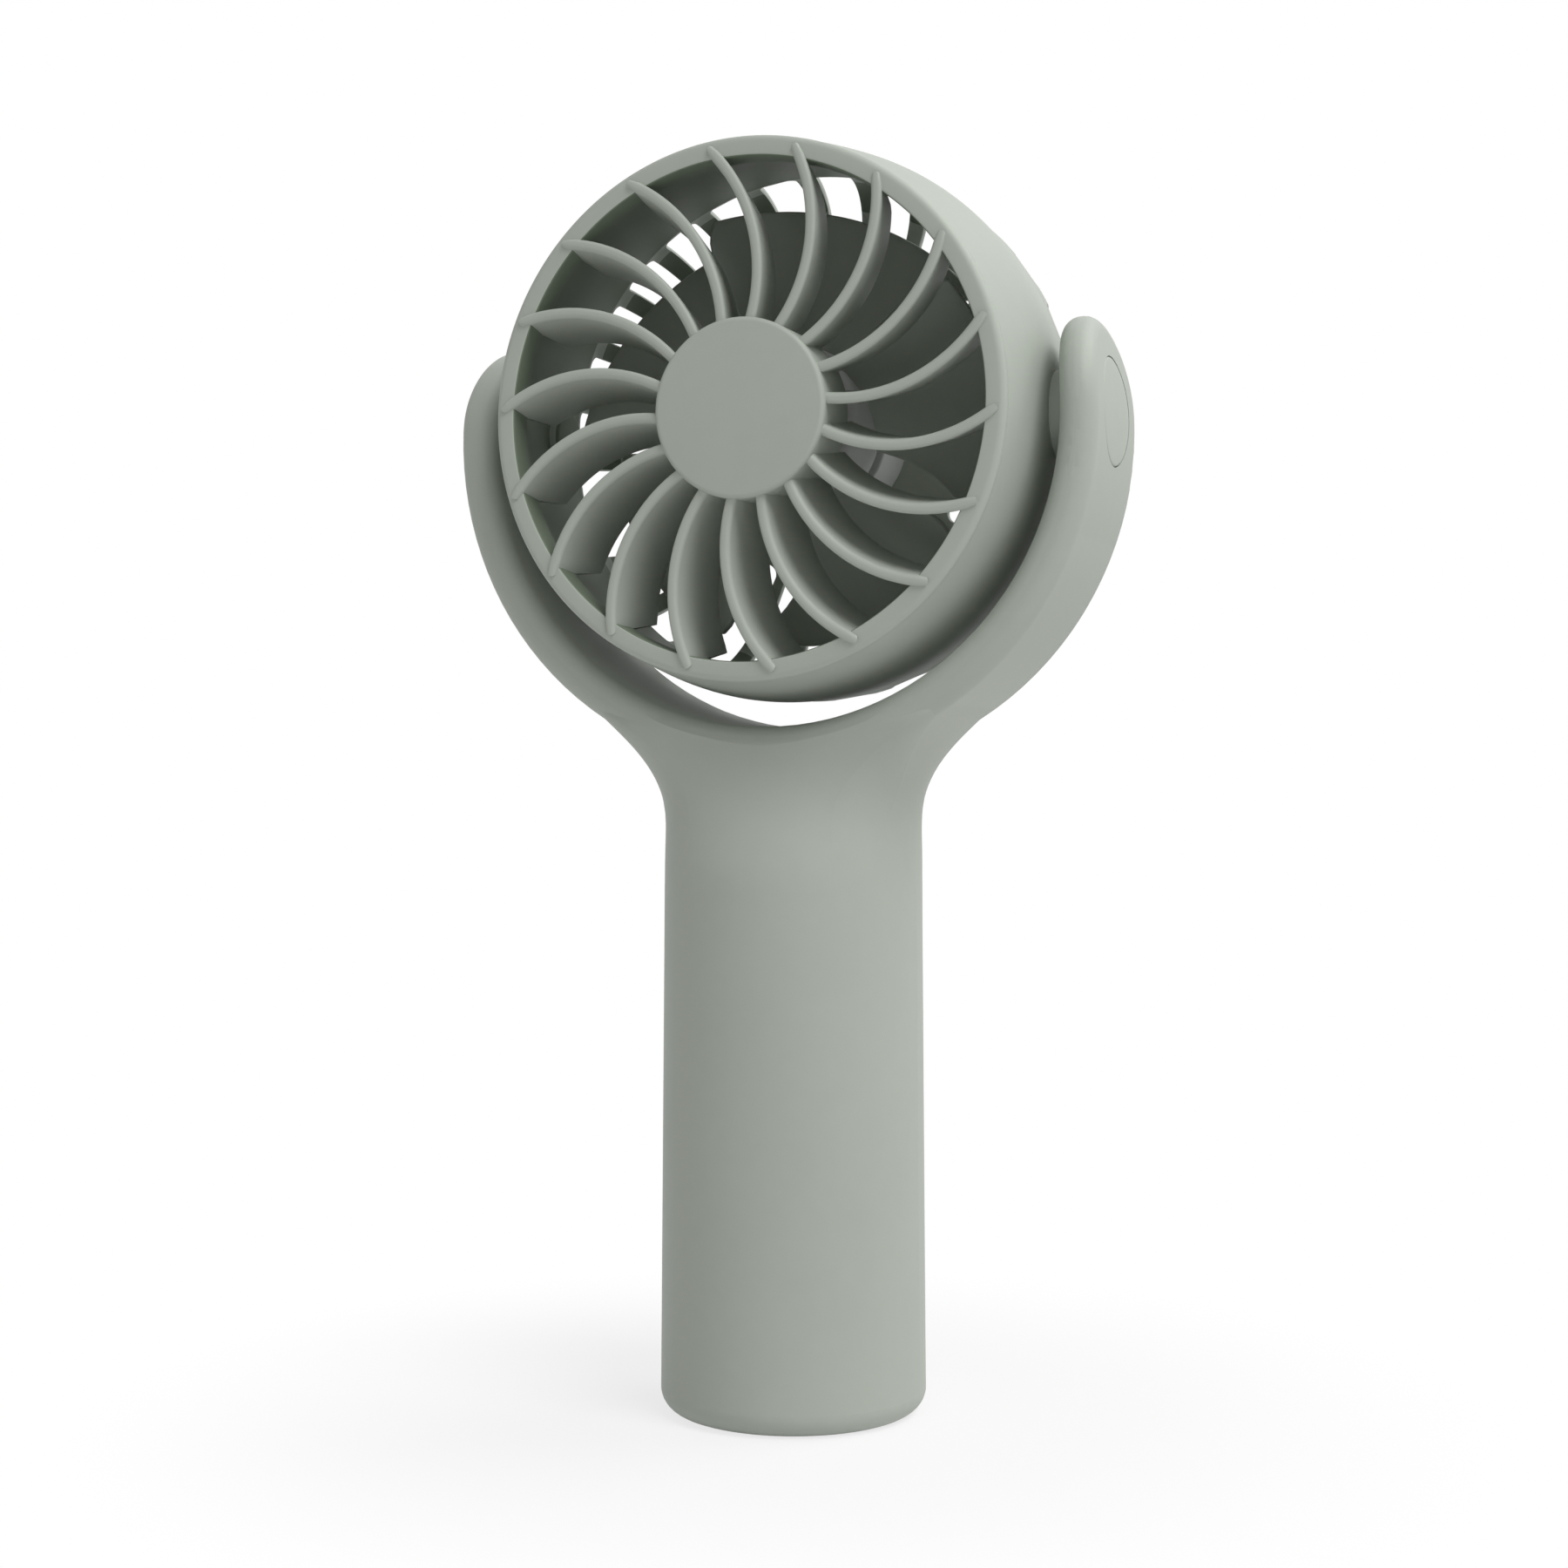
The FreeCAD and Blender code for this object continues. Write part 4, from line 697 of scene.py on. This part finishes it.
SLOT_HALF = math.radians(4.23)
SLOT_IN, SLOT_OUT = 0.0215, 0.0467
SLOT_IN_ROUND = SLOT_IN * math.tan(SLOT_HALF) * 0.98
SLOT_OUT_ROUND = 0.0013
SIDE_FIRST = SLOT_IN + SLOT_IN_ROUND
SIDE_LAST = SLOT_OUT - SLOT_OUT_ROUND
SIDE_STEPS, END_STEPS = 26, 12
SIDE_LENGTHS = [SIDE_FIRST + (SIDE_LAST - SIDE_FIRST) * step / SIDE_STEPS
                for step in range(SIDE_STEPS + 1)]
CORNER_STEPS = END_STEPS // 4
ACROSS_STEPS = END_STEPS - 2 * CORNER_STEPS


def cover_section(length):
    """Reach and level of the skin at a length, and its outward direction."""
    if length <= COVER_FLAT:
        return length, COVER_BACK, 0.0, 1.0
    bend = math.pi / 2 - (length - COVER_FLAT) / COVER_SHOULDER
    out, up = math.cos(bend), math.sin(bend)
    reach = COVER_FLAT + COVER_SHOULDER * out
    level = COVER_BACK - COVER_SHOULDER + COVER_SHOULDER * up
    return reach, level, out, up


def cover_point(length, angle, deep):
    reach, level, out, up = cover_section(length)
    inner = reach - deep * out
    return Vector((inner * math.sin(angle), level - deep * up, inner * math.cos(angle)))


def slot_loop(grow):
    """The slot's outline as (length, angle), grown by a margin."""

    def at(length, aside):
        return length, aside / cover_section(length)[0]

    sides = [(length, SLOT_HALF + grow / cover_section(length)[0]) for length in SIDE_LENGTHS]
    points = list(sides)
    radius = SLOT_OUT_ROUND + grow
    edge = SLOT_HALF * cover_section(SIDE_LAST)[0] + grow
    for step in range(1, END_STEPS):
        part = step / END_STEPS
        middle = edge - radius if part <= 0.5 else radius - edge
        turn = math.pi * part
        points.append(at(SIDE_LAST + radius * math.sin(turn), middle + radius * math.cos(turn)))
    points += [(length, -angle) for length, angle in reversed(sides)]
    radius = SLOT_IN_ROUND + grow
    edge = SLOT_HALF * SIDE_FIRST + grow
    for step in range(1, END_STEPS):
        turn = math.pi * step / END_STEPS
        points.append(at(SIDE_FIRST - radius * math.sin(turn), -edge * math.cos(turn)))
    return points


def sector_loop():
    """The sector's border, point for point with the slot's outline."""

    def end_points(low, end, sign):
        """From one side of the sector, round its end, to the other side."""
        points = []
        for step in range(1, END_STEPS):
            past = step - CORNER_STEPS
            if past <= 0:
                points.append((low + (end - low) * step / CORNER_STEPS, sign * HALF_SECTOR))
            elif past < ACROSS_STEPS:
                points.append((end, sign * HALF_SECTOR * (1 - 2 * past / ACROSS_STEPS)))
            else:
                back = (low - end) * (past - ACROSS_STEPS) / CORNER_STEPS
                points.append((end + back, -sign * HALF_SECTOR))
        return points

    return ([(length, HALF_SECTOR) for length in SIDE_LENGTHS]
            + end_points(SIDE_LAST, COVER_SPLIT, 1)
            + [(length, -HALF_SECTOR) for length in reversed(SIDE_LENGTHS)]
            + end_points(SIDE_FIRST, COVER_PLATE, -1))


def make_rear():
    """Rear cover: one sector with a slot over the shoulder, repeated 28 times."""
    slot_edge = [(0.0003, 0.0), (0.0001, 0.00007), (0.0, 0.0003)]   # margin, depth
    layers = [(sector_loop(), 0.0)]
    layers += [(slot_loop(grow), deep) for grow, deep in slot_edge]
    layers += [(slot_loop(grow), COVER_WALL - deep) for grow, deep in reversed(slot_edge)]
    layers += [(sector_loop(), COVER_WALL)]
    build = bmesh.new()
    loops = [[build.verts.new(cover_point(length, angle, deep)) for length, angle in loop]
             for loop, deep in layers]
    for before, after in zip(loops, loops[1:]):
        join_loops(build, before, after)

    # The front edge of the wall, at the seam with the barrel.
    outer, inner = loops[0], loops[-1]
    front = SIDE_STEPS + CORNER_STEPS
    for index in range(front, front + ACROSS_STEPS):
        build.faces.new((outer[index], outer[index + 1], inner[index + 1], inner[index]))

    # The plain middle, from the sector's inner end to the pole.
    start = 2 * SIDE_STEPS + END_STEPS + CORNER_STEPS
    for loop, deep in ((outer, 0.0), (inner, COVER_WALL)):
        row = [loop[(start + step) % len(loop)] for step in range(ACROSS_STEPS + 1)]
        for length in (0.013, 0.0065):
            angles = [-HALF_SECTOR + 2 * HALF_SECTOR * step / ACROSS_STEPS
                      for step in range(ACROSS_STEPS + 1)]
            nearer = [build.verts.new(cover_point(length, angle, deep)) for angle in angles]
            join_loops(build, row, nearer, closed=False)
            row = nearer
        pole = build.verts.new(cover_point(0.0, 0.0, deep))
        for left, right in zip(row, row[1:]):
            build.faces.new((left, right, pole))

    mesh = run_tree("rear_cover", mesh_of(build, "rear_sector"), REPEAT_TREE, {
        "Count": COVER_SLOTS, "Turn": HALF_SECTOR + math.radians(-2.5), "Weld": 0.000002,
        "Height": TILT_HEIGHT, "Finish": BARREL})
    cup_bore, cup_radius, cup_front, cup_back = 0.01005, 0.01185, 0.0085, 0.0189
    add_turned(mesh, soften([
        (cup_bore, cup_front, 0.0003),
        (cup_radius, cup_front, 0.0004),
        (cup_radius, cup_back, 0),
        (cup_bore, cup_back, 0)], 4))
    finish_mesh(mesh)
    add_piece("rear_cover_slotted", mesh, "head", ["rear_cover"])


# ------------------------------------------------------ impeller and the caps


def make_fan():
    """Impeller: cup hub and five blades that grow broader and deeper outwards."""
    root, tip, thickness = 0.0116, 0.0321, 0.0011
    lead_root, lead_gain = -24, 1               # degrees, gained from root to tip
    trail_root, trail_gain = 33, 23
    front_root, front_gain = -0.0060, 0.0005
    rear_root, rear_gain = 0.0045, 0.0065
    camber = 0.10
    corner_start, corner_length, corner_cut, corner_power = 0.72, 0.28, 0.04, 2.5
    steps_out, steps_on = 14, 28
    build = bmesh.new()
    grid = []
    for out in range(steps_out + 1):
        share = out / steps_out
        reach = root + (tip - root) * share
        lead = math.radians(lead_root + lead_gain * share)
        trail = math.radians(trail_root + trail_gain * share ** 2)
        front = front_root + front_gain * share
        rear = rear_root + rear_gain * share
        fade = max(0.0, share - corner_start) / corner_length
        trim = corner_cut * fade ** corner_power
        row = []
        for on in range(steps_on + 1):
            part = trim + on / steps_on * (1 - 2 * trim)
            angle = lead + (trail - lead) * part
            level = front + (rear - front) * (part + camber * math.sin(math.pi * part))
            row.append(build.verts.new((reach * math.sin(angle), level,
                                        reach * math.cos(angle))))
        grid.append(row)
    for before, after in zip(grid, grid[1:]):
        join_loops(build, before, after, closed=False)
    bmesh.ops.recalc_face_normals(build, faces=build.faces)
    bmesh.ops.solidify(build, geom=build.faces[:], thickness=thickness)
    border = [edge for edge in build.edges if len(edge.link_faces) == 2
              and edge.calc_face_angle(0.0) > math.radians(55)]
    bmesh.ops.bevel(build, geom=border, offset=0.0004, segments=3, profile=0.5, affect="EDGES")
    mesh = run_tree("impeller", mesh_of(build, "one_blade"), REPEAT_TREE, {
        "Count": 5, "Turn": 0.0, "Weld": 0.0000005, "Height": TILT_HEIGHT, "Finish": BLADE})

    hub_radius, hub_bore = 0.0122, 0.0110
    hub_front, hub_face, hub_back = -0.0070, -0.0058, 0.0044
    add_turned(mesh, soften([
        (0, hub_front, 0),
        (hub_radius, hub_front, 0.0015),
        (hub_radius, hub_back, 0.0003),
        (hub_bore, hub_back, 0.0003),
        (hub_bore, hub_face, 0.0008),
        (0, hub_face, 0)]))
    finish_mesh(mesh)
    add_piece("impeller_swept", mesh, "fan", ["impeller"])


def make_pivot_caps():
    """Flush caps with an eased edge, which leaves a fine seam in each arm."""
    yoke_radius, yoke_drop, cap_back = 0.0489, 0.0016, 0.04745
    rings = [(0.003, 0.0), (0.006, 0.0), (0.0073, 0.0), (0.00755, 0.00002),
             (0.00768, 0.00008), (0.00775, 0.0002)]   # radius, how far the face is sunk

    def face_at(z):
        """The round of the yoke at a height over the tilt axis."""
        return math.sqrt(yoke_radius ** 2 - (z + yoke_drop) ** 2)

    for side, name in ((1, "pivot_cap_right"), (-1, "pivot_cap_left")):
        build = bmesh.new()
        loops = []
        for radius, sunk in rings:
            loop = []
            for step in range(SMALL_ROUND):
                angle = math.tau * step / SMALL_ROUND
                y, z = radius * math.sin(angle), radius * math.cos(angle)
                loop.append(build.verts.new((side * (face_at(z) - sunk), y, z)))
            loops.append(loop)
        loops.append([build.verts.new((side * cap_back, point.co.y, point.co.z))
                      for point in loops[-1]])
        for before, after in zip(loops, loops[1:]):
            join_loops(build, before, after)
        for loop, x in ((loops[0], face_at(0)), (loops[-1], cap_back)):
            pole = build.verts.new((side * x, 0, 0))
            for point, follow in zip(loop, loop[1:] + loop[:1]):
                build.faces.new((point, follow, pole))
        mesh = mesh_of(build, name)
        mesh.transform(Matrix.Translation(AXIS))
        finish_mesh(mesh)
        add_piece(name + "_eased", mesh, "handle", [name], SHELL)


make_grille()
make_barrel()
make_rear()
make_fan()
make_pivot_caps()

# ---------------------------------------------------------------- the studio


def lay_floor():
    """Pale floor, clear from below, that keeps a soft shadow and fades to white."""
    fade_start, fade_end, glow_near = 0.03, 0.11, 0.75
    bpy.ops.mesh.primitive_circle_add(vertices=96, radius=3.0, fill_type="TRIFAN",
                                      location=(0, 0, 0))
    floor = bpy.context.object
    floor.name = "studio_floor"
    material, tree, shader = new_finish("studio_floor")
    shader.inputs["Base Color"].default_value = (0.82, 0.82, 0.82, 1)
    shader.inputs["Roughness"].default_value = 0.9
    shader.inputs["Specular IOR Level"].default_value = 0.1
    spread = tree.nodes.new("ShaderNodeMapRange")
    spread.interpolation_type = "SMOOTHSTEP"
    spread.inputs["From Min"].default_value = fade_start
    spread.inputs["From Max"].default_value = fade_end
    spread.inputs["To Min"].default_value = glow_near
    tree.links.new(vector_node(tree, "LENGTH", object_place(tree)), spread.inputs["Value"])
    glow = tree.nodes.new("ShaderNodeEmission").outputs["Emission"]
    clear = tree.nodes.new("ShaderNodeBsdfTransparent").outputs["BSDF"]
    share = math_node(tree, "MULTIPLY", seen_by_eye(tree), spread.outputs["Result"])
    upper = mix_shaders(tree, share, shader.outputs["BSDF"], glow)
    both = mix_shaders(tree, surface(tree, "Backfacing"), upper, clear)
    tree.links.new(both, tree.nodes["Material Output"].inputs["Surface"])
    floor.data.materials.append(material)


def light_room(level):
    """Even sky for the light, and plain white where the eye looks past the fan."""
    world = bpy.data.worlds.new("studio")
    bpy.context.scene.world = world
    world.use_nodes = True
    tree = world.node_tree
    sky = tree.nodes["Background"]
    white = tree.nodes.new("ShaderNodeBackground")
    for node, strength in ((sky, level), (white, 1.0)):
        node.inputs["Color"].default_value = (1, 1, 1, 1)
        node.inputs["Strength"].default_value = strength
    both = mix_shaders(tree, seen_by_eye(tree), sky.outputs["Background"],
                       white.outputs["Background"])
    tree.links.new(both, tree.nodes["World Output"].inputs["Surface"])


def hang_lamp(name, place, power):
    """A round soft lamp that points at the head."""
    lamp = bpy.data.lights.new(name, "AREA")
    lamp.shape = "DISK"
    lamp.size = 0.9
    lamp.energy = power
    item = new_item(name, lamp)
    item.location = place
    item.rotation_euler = (Vector(AXIS) - Vector(place)).to_track_quat("-Z", "Y").to_euler()


def set_camera():
    camera = bpy.data.cameras.new("camera")
    camera.sensor_width = 36.0
    camera.lens = 57.11
    camera.clip_start = 0.01
    item = new_item("camera", camera)
    item.location = (0.12788, -0.34720, 0.09457)
    item.rotation_euler = (math.radians(90 - 0.29), 0, math.radians(20.44))
    bpy.context.scene.camera = item


lay_floor()
light_room(0.35)
hang_lamp("key", (0.891, -0.514, 1.356), 15.0)
hang_lamp("back", (0.788, 0.661, 1.356), 7.2)
set_camera()
bpy.context.scene.view_settings.view_transform = "Standard"
